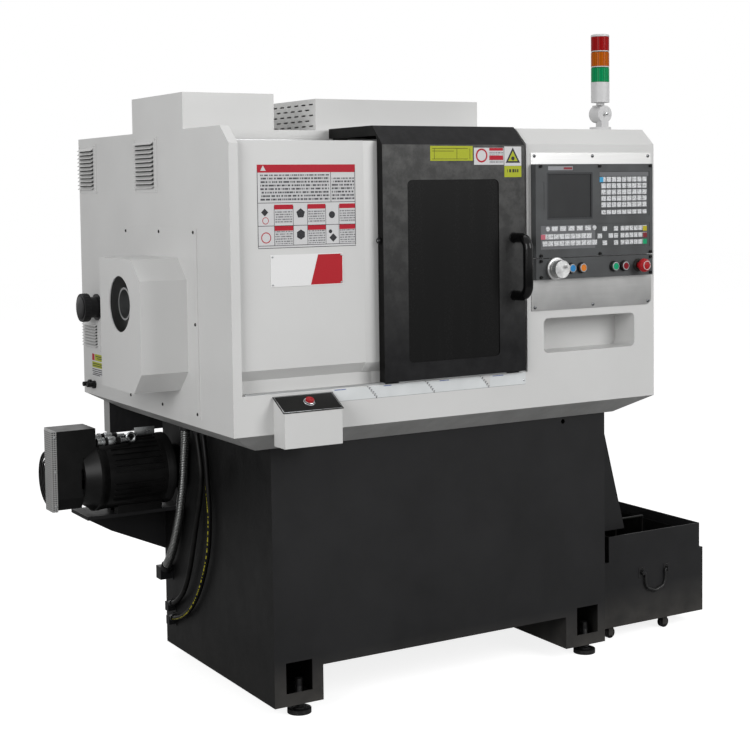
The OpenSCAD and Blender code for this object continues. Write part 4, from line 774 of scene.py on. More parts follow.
# ---- Front ledge film and start box ----
# Clear protective film still lies on the ledge in four lengths, its joints puckered; beside it stands
# the folded start box with its slanted black plate and one push button.
# Protective film: clear vinyl that whitens the coat under it, with wrinkles along the joints.
film, spot = new_material("protective_film")
crease = add_node(film, "TexNoise", {"Vector": spot, "Scale": 16.0, "Detail": 4.0})
tone = add_node(film, "ValToRGB", {"Fac": crease}, stops=[(0.3, "#d3d6d7"), (0.7, "#dde0e1")])
relief = add_node(film, "Bump", {"Height": crease, "Strength": 0.1, "Distance": 0.001})
skin = add_node(film, "BsdfPrincipled", {"Base Color": tone, "Roughness": 0.22, "Normal": relief,
    "Coat Weight": 0.3})
add_node(film, "OutputMaterial", {"Surface": skin})
film_z0, film_z1, film_slant = 842, 874, 28
lengths = [(306, 414), (418, 594), (598, 772), (776, 898)]
strips = [slab((x0, -0.35, film_z0), (x1, -0.05, film_z1)) for x0, x1 in lengths]
# all but the last length have slanted ends
for strip in strips[:-1]:
    leaned(strip, -film_slant)
settle(joined(strips), "ledge_film", film)
# puckered joints: short dark folds that run down each joint, and a torn blue edge mark on each length
puckers = []
for x0, x1 in lengths[:-1]:
    for k in range(11):
        z = film_z1 - 1 - 3 * k
        middle = x1 + 2 - film_slant * (z - film_z0) / (film_z1 - film_z0)
        aside, lean = (1.6, 0.5) if k % 2 else (-1.2, -0.4)
        puckers.append(turned(at(middle + aside, -0.3, z), (lean, -0.35, 0.3),
                              [(0, 1.4), (0.8 + 0.5 * (k % 3), 1.2), (2.6 + 0.5 * (k % 3), 0.4)], 5))
settle(joined(puckers), "film_puckers", ink("grey_film_edge", "#6d6f76", "#303238", 0.8))
sheets("film_edge_marks", [(x, 870.5, x + w, 873) for x, w in ((288, 34), (436, 24), (612, 30), (786, 36))],
       0, ink("pale_blue_film_print", "#5f70a4", "#b9bfcc", 0.8), 0.45)
sheets("film_lower_edge", [(300, 841.0, 898, 842.0), (281.5, 850, 282.8, 874)], 0,
       ink("grey_tape_line", "#8f9193", "#b9bbbc", 0.8), 0.3)
screws("ledge_screw", pan_head, [(892, 0, 853)], zinc_plate, 0.7)

# slanted start plate: a black anodised sheet with a bright line inlaid near its edge and a hole for the
# button, which stands in a chrome collar; the box's top falls 34 mm over a depth of 60 mm
box_low, box_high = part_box("start_box")
slope = math.atan(34 / 60)
face_up = Vector((0, -math.sin(slope), math.cos(slope)))
top_mid = Vector(((box_low.x + box_high.x) / 2, (box_low.y + box_high.y) / 2, box_high.z - 0.017))
button_mid = Vector((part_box("start_button")[0].x + 0.011, top_mid.y, top_mid.z))


def sloped(piece, lift):
    """Lays a level plate on the start box's slanted top, so many millimetres above it."""
    piece.rotation_euler.x = slope
    piece.location = top_mid + face_up * lift / 1000
    return piece


black_face, spot = new_material("black_anodised_plate")
grain = add_node(black_face, "TexNoise", {"Vector": spot, "Scale": 500.0, "Detail": 3.0})
tone = add_node(black_face, "ValToRGB", {"Fac": grain}, stops=[(0, "#131312"), (1, "#1e1e1d")])
relief = add_node(black_face, "Bump", {"Height": grain, "Strength": 0.2, "Distance": 0.0003})
skin = add_node(black_face, "BsdfPrincipled", {"Base Color": tone, "Roughness": 0.5, "Normal": relief,
    "Specular IOR Level": 0.12})
add_node(black_face, "OutputMaterial", {"Surface": skin})
half = (box_high.x - box_low.x) * 500 + 4
middle_x = (top_mid.x - left_front.x) * 1000
for name, inset, lift, thick, finish in (("start_plate_rim", 0, 0.75, 1.2, black_face),
                                         ("start_plate_line", 2.5, 1.4, 0.8, zinc_plate),
                                         ("start_plate_face", 4.2, 1.8, 0.6, black_face)):
    plate = sloped(slab((middle_x - half + inset, -68 + inset, 0),
                        (middle_x + half - inset, 4 - inset, thick), 1.5, 0.2), lift)
    hole = turned(button_mid - face_up * 0.02, face_up, [(0, 11.6), (40, 11.6)], 32)
    settle(driven(plate, hole), name, finish)


def collar(place, axis, profile, bore):
    """A turned ring with a straight bore through it."""
    ring = turned(place, axis, profile, 40)
    axis = Vector(axis).normalized()
    return driven(ring, turned(place - axis * 0.02, axis, [(0, bore), (60, bore)], 40))


# Bright chrome: plated over brass, mirror smooth with fine wipe marks.
chrome, spot = new_material("chrome_plate")
wipes = add_node(chrome, "TexNoise", {"Vector": spot, "Scale": 420.0, "Detail": 3.0})
dull = add_node(chrome, "MapRange", {"Value": wipes, "To Min": 0.08, "To Max": 0.24})
skin = add_node(chrome, "BsdfPrincipled", {"Base Color": "#c4c6c8", "Metallic": 1.0, "Roughness": dull})
add_node(chrome, "OutputMaterial", {"Surface": skin})
settle(collar(button_mid + face_up * 0.0022, face_up, [(0, 15.4), (1.2, 15.4), (1.8, 13.6), (5.0, 13.4),
       (5.6, 12.6), (5.6, 12)], 11.4), "start_button_collar", chrome)


def moulded(name, code, deep, rough=0.28):
    """Injection-moulded plastic: clear gloss over one colour, with faint flow marks and dust in them."""
    material, spot = new_material(name)
    flow = add_node(material, "TexNoise", {"Vector": spot, "Scale": 240.0, "Detail": 4.0})
    tone = add_node(material, "Mix", {"Factor": flow, 6: deep, 7: code}, data_type="RGBA")
    dull = add_node(material, "MapRange", {"Value": flow, "To Min": rough - 0.08, "To Max": rough + 0.10})
    relief = add_node(material, "Bump", {"Height": flow, "Strength": 0.06, "Distance": 0.0003})
    skin = add_node(material, "BsdfPrincipled", {"Base Color": tone.outputs[2], "Roughness": dull,
        "Normal": relief, "Specular IOR Level": 0.22})
    add_node(material, "OutputMaterial", {"Surface": skin})
    return material


for colour, code, deep, nodes in (("red", "#b32027", "#8d1219", ["start_button", "stop_button"]),
                                  ("blue", "#3f9ad6", "#2374b4", ["blue_button"]),
                                  ("orange", "#e08a3a", "#c86a1c", ["orange_button"]),
                                  ("green", "#12a878", "#0a8258", ["green_button"]),
                                  ("dark_red", "#8e1524", "#620a14", ["red_button"])):
    coat(moulded(colour + "_polycarbonate_cap", code, deep), nodes)
black_moulding = moulded("black_polyamide", "#1b1b1c", "#0f0f10", 0.38)


# ---- Sliding door ----
# A folded door skin in dark powder coat with a glued polycarbonate window and a moulded bow handle.
# It runs on two ground rails, and carries plain notice fields and a rubber stop.
# Dark grey powder coat: cloudy, with patches 4 to 30 mm across that catch the light differently.
door_coat, spot = new_material("dark_grey_powder_coat")
patches = add_node(door_coat, "TexNoise", {"Vector": spot, "Scale": 34.0, "Detail": 6.0, "Roughness": 0.65})
body = add_node(door_coat, "ValToRGB", {"Fac": patches}, stops=[(0.36, "#1d1d1e"), (0.68, "#262627")])
cloud = add_node(door_coat, "TexNoise", {"Vector": spot, "Scale": 11.0, "Detail": 3.0})
gloss = add_node(door_coat, "MapRange", {"Value": cloud, "From Min": 0.35, "From Max": 0.65, "To Min": 0.30,
    "To Max": 0.50})
grit = add_node(door_coat, "TexNoise", {"Vector": spot, "Scale": 260.0, "Detail": 4.0})
relief = add_node(door_coat, "Bump", {"Height": grit, "Strength": 0.35, "Distance": 0.0006})
# painted highlight: the upper part is lightened towards the top in cloudy patches, for the overhead light's
# reflection
place = add_node(door_coat, "SeparateXYZ", {"Vector": spot})
high = add_node(door_coat, "MapRange", {"Value": place.outputs["Z"], "From Min": 0.95, "From Max": 1.5,
    "To Min": 0.0, "To Max": 0.27})
drift = add_node(door_coat, "TexNoise", {"Vector": spot, "Scale": 26.0, "Detail": 8.0, "Roughness": 0.7})
cloudy = add_node(door_coat, "MapRange", {"Value": drift, "From Min": 0.42, "From Max": 0.62,
    "To Min": 0.75, "To Max": 1.35})
dust_and_highlight_mask = add_node(door_coat, "Math", {0: high, 1: cloudy}, operation="MULTIPLY")
facing = add_node(door_coat, "NewGeometry")
turned_to = add_node(door_coat, "SeparateXYZ", {"Vector": facing.outputs["True Normal"]})
# the painted highlight is kept to the upright faces, off the sloping fold and the top, so that the fold line
# shows
upright = add_node(door_coat, "MapRange", {"Value": turned_to.outputs["Z"], "From Min": 0.1,
    "From Max": 0.4, "To Min": 1.0, "To Max": 0.0})
lit_uprights_mask = add_node(door_coat, "Math", {0: dust_and_highlight_mask, 1: upright}, operation="MULTIPLY")
dust_and_highlight_tone = add_node(door_coat, "Mix", {"Factor": lit_uprights_mask, 6: body, 7: "#8b8b89"}, data_type="RGBA")
# painted shade: the folded left edge, the faces turned to -X, is darkened to near black
edge = add_node(door_coat, "MapRange", {"Value": turned_to.outputs["X"], "From Min": -0.9, "From Max": -0.3,
    "To Min": 0.95, "To Max": 0.0})
painted_shade_tone = add_node(door_coat, "Mix", {"Factor": edge, 6: dust_and_highlight_tone.outputs[2], 7: "#050505"}, data_type="RGBA")
skin = add_node(door_coat, "BsdfPrincipled", {"Base Color": painted_shade_tone.outputs[2], "Roughness": gloss,
    "Normal": relief, "Specular IOR Level": 0.07})
add_node(door_coat, "OutputMaterial", {"Surface": skin})
coat(door_coat, ["sliding_door"])

# Tinted polycarbonate: dark and glossy, with long wipe marks and fine coolant spots.
tinted, spot = new_material("tinted_polycarbonate")
long_way = add_node(tinted, "Mapping", {"Vector": spot, "Scale": (30.0, 30.0, 2.2)})
wipes = add_node(tinted, "TexNoise", {"Vector": long_way, "Scale": 1.0, "Detail": 4.0})
drops = add_node(tinted, "TexNoise", {"Vector": spot, "Scale": 210.0, "Detail": 2.0})
both = add_node(tinted, "Math", {0: wipes, 1: drops}, operation="MULTIPLY")
dull = add_node(tinted, "MapRange", {"Value": both, "From Min": 0.1, "From Max": 0.5, "To Min": 0.24,
    "To Max": 0.30})
tone = add_node(tinted, "ValToRGB", {"Fac": wipes}, stops=[(0, "#161616"), (1, "#191919")])
skin = add_node(tinted, "BsdfPrincipled", {"Base Color": tone, "Roughness": dull, "IOR": 1.58,
    "Specular IOR Level": 0.07})
add_node(tinted, "OutputMaterial", {"Surface": skin})
coat(tinted, ["door_window"])

# bow handle: one round bar drawn out of the door, spun round two corners and drawn back
grip_low, grip_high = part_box("door_handle")
bar, corner = 0.0137, 0.030
reach, foot, head = grip_low.y + bar, grip_low.z + bar, grip_high.z - bar
place_apart()
bpy.ops.mesh.primitive_circle_add(vertices=28, radius=bar, fill_type="NGON",
                                  location=((grip_low.x + grip_high.x) / 2, grip_high.y, foot),
                                  rotation=(math.radians(90), 0, 0))
bow = bpy.context.object
bpy.ops.object.transform_apply(location=True, rotation=True, scale=False)
bpy.ops.object.mode_set(mode="EDIT")
bpy.ops.mesh.select_all(action="SELECT")
bpy.ops.mesh.extrude_region_move(TRANSFORM_OT_translate={"value": (0, reach + corner - grip_high.y, 0)})
bpy.ops.mesh.spin(steps=10, angle=math.radians(90), center=(0, reach + corner, foot + corner), axis=(1, 0, 0))
bpy.ops.mesh.extrude_region_move(TRANSFORM_OT_translate={"value": (0, 0, head - foot - 2 * corner)})
bpy.ops.mesh.spin(steps=10, angle=math.radians(90), center=(0, reach + corner, head - corner), axis=(1, 0, 0))
bpy.ops.mesh.extrude_region_move(TRANSFORM_OT_translate={"value": (0, grip_high.y - reach - corner, 0)})
bpy.ops.mesh.select_all(action="SELECT")
bpy.ops.mesh.remove_doubles(threshold=0.00001)
bpy.ops.mesh.normals_make_consistent(inside=False)
bpy.ops.object.mode_set(mode="OBJECT")
gloss_black = moulded("gloss_black_bow", "#0b0b0c", "#060606", 0.13)
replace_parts(settle(bow, "door_bow_handle", gloss_black, "door", 50), "door_handle")
feet_of_bow = [turned(((grip_low.x + grip_high.x) / 2, grip_high.y, z), forward, [(0, 15.0), (2.2, 15.0),
               (3.4, 14.2), (3.4, 13.4)], 32) for z in (foot, head)]
settle(joined(feet_of_bow), "door_handle_feet", black_moulding, "door")

door_face = edge_of("sliding_door", 0, "y")
olive_ink = ink("olive_screen_ink", "#5c5e20", "#8a8e2c", 0.5)
white_vinyl = ink("white_vinyl", "#cfcfd0", "#a9a9aa", 0.4)
print_on_yellow = lines_of_print("print_on_yellow", 0.011, 0.8, "#aab12f", "#3c3c28")
yellow_rules = [(586, z, x, z + 1.6) for z, x in ((1494, 700), (1487, 655), (1466, 700))]
yellow_rules += [(x, 1466, x + 1.6, 1495) for x in (592, 664, 706)]
for name, boxes, finish, proud in (
        ("door_yellow_field", [(580, 1462, 716, 1501.5, 1)], yellow_ink, 0.3),
        ("door_yellow_rules", yellow_rules, olive_ink, 0.45),
        ("door_pale_field", [(720, 1451, 818, 1497, 1), (820, 1448, 877, 1500.5, 1)], white_vinyl, 0.3),
        ("door_red_bars", [(770, 1489, 816, 1496.5), (770, 1464, 816, 1476)], red_ink, 0.45),
        ("door_small_print", [(770, 1454, 816, 1464), (770, 1477, 816, 1488)], small_print, 0.45),
        ("door_lower_yellow", [(820, 1417, 877, 1447.5, 1)], yellow_ink, 0.3),
        ("door_lower_print", [(829, 1430, 868, 1440)], print_on_yellow, 0.45)):
    sheets(name, boxes, door_face, finish, proud, "door")
for name, place, finish in (("door_red_disc", (745, 1476, 19, 40, 0.45), red_ink),
                            ("door_disc_centre", (745, 1476, 14.2, 40, 0.6), pale_ink),
                            ("door_triangle", (848.5, 1470, 28, 3, 0.45), black_ink),
                            ("door_triangle_centre", (848.5, 1470, 18.5, 3, 0.6), yellow_ink),
                            ("door_triangle_mark", (848.5, 1468, 5.5, 24, 0.75), black_ink)):
    spots(name, [place], door_face, finish, "door")

# rubber stop on the door's left flank: a turned buffer with a bright screw in it
door_side = edge_of("sliding_door", 0, "x")
buffer = turned(at(door_side, 2, 1254), leftwards, [(0, 7.5), (1.5, 8), (6.5, 7.6), (8, 6.2), (8, 3.6),
                (6, 3.6)], 28)
settle(buffer, "door_rubber_stop", black_moulding, "door")
screws("door_stop_screw", pan_head, [(door_side - 6, 2, 1254)], zinc_plate, 0.72, leftwards, "door")

# Ground steel: pale grey with fine lengthways lines from the grinding wheel and a film of oil.
ground_steel, spot = new_material("ground_steel")
lengthways = add_node(ground_steel, "Mapping", {"Vector": spot, "Scale": (6.0, 900.0, 900.0)})
lines = add_node(ground_steel, "TexNoise", {"Vector": lengthways, "Scale": 1.0, "Detail": 3.0})
tone = add_node(ground_steel, "ValToRGB", {"Fac": lines}, stops=[(0, "#9a9c9d"), (1, "#bfc0c0")])
dull = add_node(ground_steel, "MapRange", {"Value": lines, "To Min": 0.22, "To Max": 0.44})
relief = add_node(ground_steel, "Bump", {"Height": lines, "Strength": 0.12, "Distance": 0.0002})
skin = add_node(ground_steel, "BsdfPrincipled", {"Base Color": tone, "Metallic": 1.0, "Roughness": dull,
    "Normal": relief})
add_node(ground_steel, "OutputMaterial", {"Surface": skin})
coat(ground_steel, ["door_rails", "spindle", "spindle_bearings", "collet_chuck", "motor_rotor"])


# ---- Control station ----
# A brushed stainless plate screwed to the cabinet carries a cast-frame controller with membrane keys,
# and a lower panel with the pulse wheel, four push buttons and the stop mushroom.
# Brushed stainless: level hairlines 0.3 mm apart from the belt, drawn coarser so that they show.
brushed, spot = new_material("brushed_stainless_plate")
level_way = add_node(brushed, "Mapping", {"Vector": spot, "Scale": (8.0, 8.0, 1100.0)})
hair = add_node(brushed, "TexNoise", {"Vector": level_way, "Scale": 1.0, "Detail": 4.0})
tone = add_node(brushed, "ValToRGB", {"Fac": hair}, stops=[(0, "#c3c3c2"), (1, "#dcdcdb")])
dull = add_node(brushed, "MapRange", {"Value": hair, "To Min": 0.26, "To Max": 0.42})
relief = add_node(brushed, "Bump", {"Height": hair, "Strength": 0.08, "Distance": 0.0002})
# painted reflection: below a cloudy line with soft edges 60 mm across, the lower half is darkened to grey
place = add_node(brushed, "SeparateXYZ", {"Vector": spot})
cloud = add_node(brushed, "TexNoise", {"Vector": spot, "Scale": 9.0, "Detail": 3.0})
edge = add_node(brushed, "Math", {0: cloud, 1: 0.12, 2: place.outputs["Z"]}, operation="MULTIPLY_ADD")
painted_shade_mask = add_node(brushed, "MapRange", {"Value": edge, "From Min": 1.10, "From Max": 1.26, "To Min": 0.62,
    "To Max": 0.0})
dirt_and_shade_tone = add_node(brushed, "Mix", {"Factor": painted_shade_mask, 6: tone, 7: "#6b6b6b"}, data_type="RGBA")
skin = add_node(brushed, "BsdfPrincipled", {"Base Color": dirt_and_shade_tone.outputs[2], "Metallic": 0.85,
    "Roughness": dull, "Normal": relief})
add_node(brushed, "OutputMaterial", {"Surface": skin})
coat(brushed, ["control_plate"])
plate_face = edge_of("control_plate", 0, "y")
# older zinc on the plate's screws: the same plating gone grey
grey_zinc = zinc_plate.copy()
grey_zinc.name = "grey_zinc_plate"
for stop, code in zip(grey_zinc.node_tree.nodes["Color Ramp"].color_ramp.elements, ("#4a4b4d", "#77787a")):
    stop.color = srgb(code)
screws("control_plate_screws", pan_head, [(x, plate_face, z) for x in (931, 1135.5, 1340)
       for z in (1053, 1475)], grey_zinc, 1.1)

# Die-cast and sprayed frame under a matt membrane: dark grey with a 0.8 mm leather grain.
membrane, spot = new_material("matt_grey_membrane")
grain = add_node(membrane, "TexVoronoi", {"Vector": spot, "Scale": 1300.0})
wipe = add_node(membrane, "TexNoise", {"Vector": spot, "Scale": 14.0, "Detail": 5.0})
tone = add_node(membrane, "ValToRGB", {"Fac": wipe}, stops=[(0.35, "#474849"), (0.65, "#4f5152")])
dull = add_node(membrane, "MapRange", {"Value": wipe, "To Min": 0.42, "To Max": 0.60})
relief = add_node(membrane, "Bump", {"Height": grain, "Strength": 0.12, "Distance": 0.0002})
skin = add_node(membrane, "BsdfPrincipled", {"Base Color": tone, "Roughness": dull, "Normal": relief,
    "Specular IOR Level": 0.2})
add_node(membrane, "OutputMaterial", {"Surface": skin})
coat(membrane, ["controller_panel", "aux_panel"])

# Switched-off screen: dark grey glass with a matt coat, finger marks and a cooler tint.
dark_screen, spot = new_material("switched_off_screen")
marks = add_node(dark_screen, "TexNoise", {"Vector": spot, "Scale": 26.0, "Detail": 5.0})
tone = add_node(dark_screen, "ValToRGB", {"Fac": marks}, stops=[(0, "#292a2b"), (1, "#303132")])
dull = add_node(dark_screen, "MapRange", {"Value": marks, "To Min": 0.26, "To Max": 0.44})
skin = add_node(dark_screen, "BsdfPrincipled", {"Base Color": tone, "Roughness": dull,
    "Specular IOR Level": 0.2})
add_node(dark_screen, "OutputMaterial", {"Surface": skin})
coat(dark_screen, ["screen_glass"])

# Keys: pale grey moulded caps whose worn legends show as dark marks of about 3 mm.
key_cap, spot = new_material("pale_key_caps")
legend = add_node(key_cap, "TexNoise", {"Vector": spot, "Scale": 330.0, "Detail": 2.0})
inked = add_node(key_cap, "MapRange", {"Value": legend, "From Min": 0.54, "From Max": 0.60, "To Min": 0.0,
    "To Max": 0.75})
tone = add_node(key_cap, "Mix", {"Factor": inked, 6: "#d3d4d6", 7: "#606163"}, data_type="RGBA")
relief = add_node(key_cap, "Bump", {"Height": inked, "Strength": 0.1, "Distance": 0.0002})
skin = add_node(key_cap, "BsdfPrincipled", {"Base Color": tone.outputs[2], "Roughness": 0.46,
    "Normal": relief})
add_node(key_cap, "OutputMaterial", {"Surface": skin})
coat(key_cap, ["panel_keys"])

control_face = edge_of("controller_panel", 0, "y")
key_face = edge_of("panel_keys", 0, "y")
key_floor = edge_of("panel_keys", 1, "y")
for colour, box, code in (("cyan", (1143.5, 1400.5, 1157, 1414.5), "#4aa3cf"),
                          ("pink", (935.5, 1243.0, 951, 1256.5), "#c06a76"),
                          ("yellow", (1302, 1259, 1317, 1273), "#b9ac2a"),
                          ("dark_red", (1302, 1240, 1317, 1254), "#7a2a33"),
                          ("green", (1302, 1221, 1317, 1235), "#159a68")):
    key_ink = ink("key_" + colour + "_cap", code, "#3c3c3e", 0.3)
    sheets("key_" + colour, [box + (1.5,)], key_face, key_ink, 0.15)
for name, boxes, face, finish, proud in (
        ("brand_free_strip", [(962, 1435, 1048, 1446, 1)], control_face,
         ink("grey_strip", "#96979a", "#6f7073", 0.6), 0.25),
        ("brand_free_strip_end", [(1016, 1437, 1046, 1443)], control_face,
         ink("muted_red_ink", "#8a3038", "#5e5f61", 0.6), 0.4),
        ("usb_flap", [(922.6, 1325.6, 947.4, 1402.4, 2)], control_face + 0.9, membrane, 0.2),
        ("key_fields", [(937, 1215, 1128, 1281, 1), (1145, 1417, 1325, 1429, 1)], key_floor,
         ink("grey_key_field", "#6d6e70", "#59595b", 0.5), 0.1)):
    sheets(name, boxes, face, finish, proud)
# screen bezel: a chamfered moulded frame let into the recess round the glass
bezel = slab((955.4, -23.9, 1295.4), (1120.6, -21.2, 1430.6), 3, 0.4)
window = slab((962, -30, 1302), (1114, -15, 1424), 2)
settle(driven(bezel, window), "screen_bezel", moulded("dark_bezel", "#3c3d3f", "#2e2f31", 0.42))
black_oxide = moulded("black_oxide_screw", "#0e0e0e", "#070707", 0.45)
for name, across, heights in (("controller_screws", (935, 1143, 1329), (1198, 1446)),
                              ("lower_panel_screws", (935, 1329), (1138, 1183))):
    screws(name, socket_head, [(x, control_face - 0.4, z) for x in across for z in heights],
           black_oxide, 0.72)

# push buttons: a black collar on the panel and a bright bezel that moves with each cap
level_z = (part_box("blue_button")[0].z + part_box("blue_button")[1].z) * 500
lower_face = edge_of("aux_panel", 0, "y")


def cap_place(node):
    """How far across a cap's middle stands, and how far forward its front, in millimetres."""
    low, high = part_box(node)
    return ((low.x + high.x) / 2 - left_front.x) * 1000, edge_of(node, 0, "y")


for colour in ("blue", "orange", "green", "red"):
    node = colour + "_button"
    x, front = cap_place(node)
    settle(collar(at(x, lower_face, level_z), forward, [(0, 15.4), (2.2, 15.4), (3.4, 14.4), (6.6, 14.2),
           (7.4, 13.6), (7.4, 12.9)], 12.4), node + "_collar", black_moulding)
    settle(collar(at(x, front + 3.2, level_z), forward, [(0, 11.0), (0.2, 12.0), (3.4, 12.0), (4.0, 11.3),
           (4.0, 10.0)], 9.4), node + "_bezel", chrome, colour + "_cap")
x, front = cap_place("stop_button")
settle(collar(at(x, lower_face, level_z), forward, [(0, 19), (1.6, 19), (2.4, 18), (6.6, 17.2), (7.4, 16.4),
       (7.4, 14)], 12.6), "stop_collar",
       moulded("dark_yellow_collar", "#2a2926", "#1b1a18", 0.4))
# the three printed arcs on the mushroom, cut from one ring
place_apart()
bpy.ops.mesh.primitive_torus_add(major_radius=0.0122, minor_radius=0.0011, major_segments=48,
                                 minor_segments=8, location=at(x, front + 0.3, level_z),
                                 rotation=(math.radians(90), 0, 0))
ring = bpy.context.object
bpy.ops.object.transform_apply(location=True, rotation=True, scale=True)
bpy.ops.object.mode_set(mode="EDIT")
shell = bmesh.from_edit_mesh(ring.data)
middle = at(x, 0, level_z)
for face in shell.faces:
    centre = face.calc_center_median() - middle
    face.select = math.degrees(math.atan2(centre.z, centre.x)) % 120 < 16
bmesh.update_edit_mesh(ring.data)
bpy.ops.mesh.delete(type="FACE")
bpy.ops.mesh.select_all(action="SELECT")
bpy.ops.mesh.region_to_loop()
bpy.ops.mesh.edge_face_add()
bpy.ops.object.mode_set(mode="OBJECT")
settle(ring, "stop_turn_marks", ink("white_pad_print", "#d9c9c9", "#c04048", 0.6), "stop_cap")

# pulse wheel: turned aluminium, ringed by the lathe tool, over a dial with fifty marks
tool_pitch = 0.0008  # metres between two rings
spun, spot = new_material("turned_aluminium")
wheel_low, wheel_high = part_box("handwheel")
hub = (wheel_low + wheel_high) / 2
centred = add_node(spun, "VectorMath", {0: spot, 1: (hub.x, hub.y, hub.z)}, operation="SUBTRACT")
flat = add_node(spun, "VectorMath", {0: centred, 1: (1, 0, 1)}, operation="MULTIPLY")
away = add_node(spun, "VectorMath", {0: flat}, operation="LENGTH")
rings = add_node(spun, "Math", {0: away.outputs["Value"], 1: 2 * math.pi / tool_pitch},
    operation="MULTIPLY")
wave = add_node(spun, "Math", {0: rings}, operation="SINE")
stain = add_node(spun, "TexNoise", {"Vector": spot, "Scale": 90.0, "Detail": 4.0})
tone = add_node(spun, "ValToRGB", {"Fac": stain}, stops=[(0, "#b7b8b8"), (1, "#d6d6d5")])
dull = add_node(spun, "MapRange", {"Value": stain, "To Min": 0.22, "To Max": 0.42})
relief = add_node(spun, "Bump", {"Height": wave, "Strength": 0.15, "Distance": 0.0002})
skin = add_node(spun, "BsdfPrincipled", {"Base Color": tone, "Metallic": 0.9, "Roughness": dull,
    "Normal": relief})
add_node(spun, "OutputMaterial", {"Surface": skin})
coat(spun, ["handwheel", "spindle_pulley", "motor_pulley"])
wheel_x = (hub.x - left_front.x) * 1000
wheel_z = (hub.z - left_front.z) * 1000
dial = collar(at(wheel_x, lower_face, wheel_z), forward, [(0, 31.5), (1.0, 32), (8.0, 32), (9.5, 30.4),
              (10.2, 29), (10.2, 27)], 12.5)
settle(dial, "pulse_wheel_dial", spun)
marks, steps = [], 50
for k in range(steps):
    mark = slab((-0.25, -34.3, 28.4 - (1.6 if k % 5 else 2.6)), (0.25, -34.15, 28.4))
    marks.append(copied(mark, Matrix.Translation(at(wheel_x, 0, wheel_z))
                 @ Matrix.Rotation(2 * math.pi * k / steps, 4, "Y") @ Matrix.Translation(-left_front)))
    bpy.data.objects.remove(mark)
settle(joined(marks), "dial_marks", black_ink)


# ---- Tower light ----
# Three moulded lens drums with flutes inside, parted by white rings, on a grey stem with a tilting
# knuckle on a screwed foot.
# Pale grey moulding: satin, with the faint flow marks of the mould.
pale_moulding = moulded("pale_grey_polycarbonate", "#cfcfcf", "#c2c2c3", 0.36)
coat(pale_moulding, ["tower_base", "tower_stem"])
lens_low, lens_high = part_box("tower_lenses")
lens_mid = ((lens_low + lens_high) / 2 - left_front) * 1000
wide = (lens_high.x - lens_low.x) * 500  # the drums' radius


def lens_plastic(name, code, flute_count=24):
    """Clear coloured polycarbonate over inner flutes, which show as soft upright bands."""
    material, spot = new_material(name)
    centred = add_node(material, "VectorMath", {0: spot, 1: at(*lens_mid)}, operation="SUBTRACT")
    parts = add_node(material, "SeparateXYZ", {"Vector": centred})
    around = add_node(material, "Math", {0: parts.outputs["Y"], 1: parts.outputs["X"]}, operation="ARCTAN2")
    flutes = add_node(material, "Math", {0: around, 1: flute_count}, operation="MULTIPLY")
    wave = add_node(material, "Math", {0: flutes}, operation="SINE")
    band = add_node(material, "MapRange", {"Value": wave, "From Min": -1.0, "To Min": 0.62, "To Max": 1.0})
    tone = add_node(material, "VectorMath", {0: srgb(code)[:3], 1: band}, operation="MULTIPLY")
    relief = add_node(material, "Bump", {"Height": wave, "Strength": 0.1, "Distance": 0.0004})
    skin = add_node(material, "BsdfPrincipled", {"Base Color": tone, "Roughness": 0.25, "Normal": relief,
        "IOR": 1.58, "Specular IOR Level": 0.05})
    add_node(material, "OutputMaterial", {"Surface": skin})
    return material


for name, code, z0, z1 in (("green", "#078f55", 1693, 1735), ("amber", "#b85a05", 1739, 1780),
                           ("red", "#9c0f10", 1784, 1825)):
    drum = turned(at(lens_mid.x, lens_mid.y, 0), upwards, [(z0, wide - 1.2), (z0 + 1.2, wide - 0.2),
                  (z1 - 1.2, wide - 0.2), (z1, wide - 1.2)], 48)
    settle(drum, "tower_lens_" + name, lens_plastic(name + "_lens", code), "lamp", 20)
    ring = collar(at(lens_mid.x, lens_mid.y, z0 - 2), upwards, [(-0.6, wide - 0.9), (0.0, wide), (1.8, wide),
                  (2.4, wide - 0.9)], 12)
    settle(ring, "tower_ring_" + name, pale_moulding, "lamp")
cap = turned(at(lens_mid.x, lens_mid.y, 0), upwards, [(1825, wide - 1), (1825.6, wide), (1829.5, wide),
             (1831.6, wide - 1.4), (1832.3, wide - 5)], 48)
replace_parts(settle(cap, "tower_cap", pale_moulding, "lamp"), "tower_lenses")
knuckle = (edge_of("tower_base", 0, "x") + 31.5, edge_of("tower_base", 0, "y") + 2, 1600)
screws("tower_knuckle_screw", pan_head, [knuckle], zinc_plate, 1.1)


# ---- Machine inside the enclosure ----
# Grey iron castings, filled, rubbed down and painted, carry scraped slides; a ribbed rubber belt
# drives the spindle. They are seen through the window and with the door open.
# Filled and painted casting: grey-green machine enamel with 4 mm waves of filler and oily patches.
casting, spot = new_material("machine_enamel_on_cast_iron")
cloudy = add_node(casting, "TexNoise", {"Vector": spot, "Scale": 12.0, "Detail": 6.0})
body = add_node(casting, "ValToRGB", {"Fac": cloudy}, stops=[(0.35, "#5c6361"), (0.65, "#6f7674")])
wet = add_node(casting, "MapRange", {"Value": cloudy, "From Min": 0.35, "From Max": 0.65, "To Min": 0.22,
    "To Max": 0.50})
filler = add_node(casting, "TexNoise", {"Vector": spot, "Scale": 230.0, "Detail": 4.0})
relief = add_node(casting, "Bump", {"Height": filler, "Strength": 0.3, "Distance": 0.0006})
skin = add_node(casting, "BsdfPrincipled", {"Base Color": body, "Roughness": wet, "Normal": relief})
add_node(casting, "OutputMaterial", {"Surface": skin})
coat(casting, ["headstock", "machine_bed"])

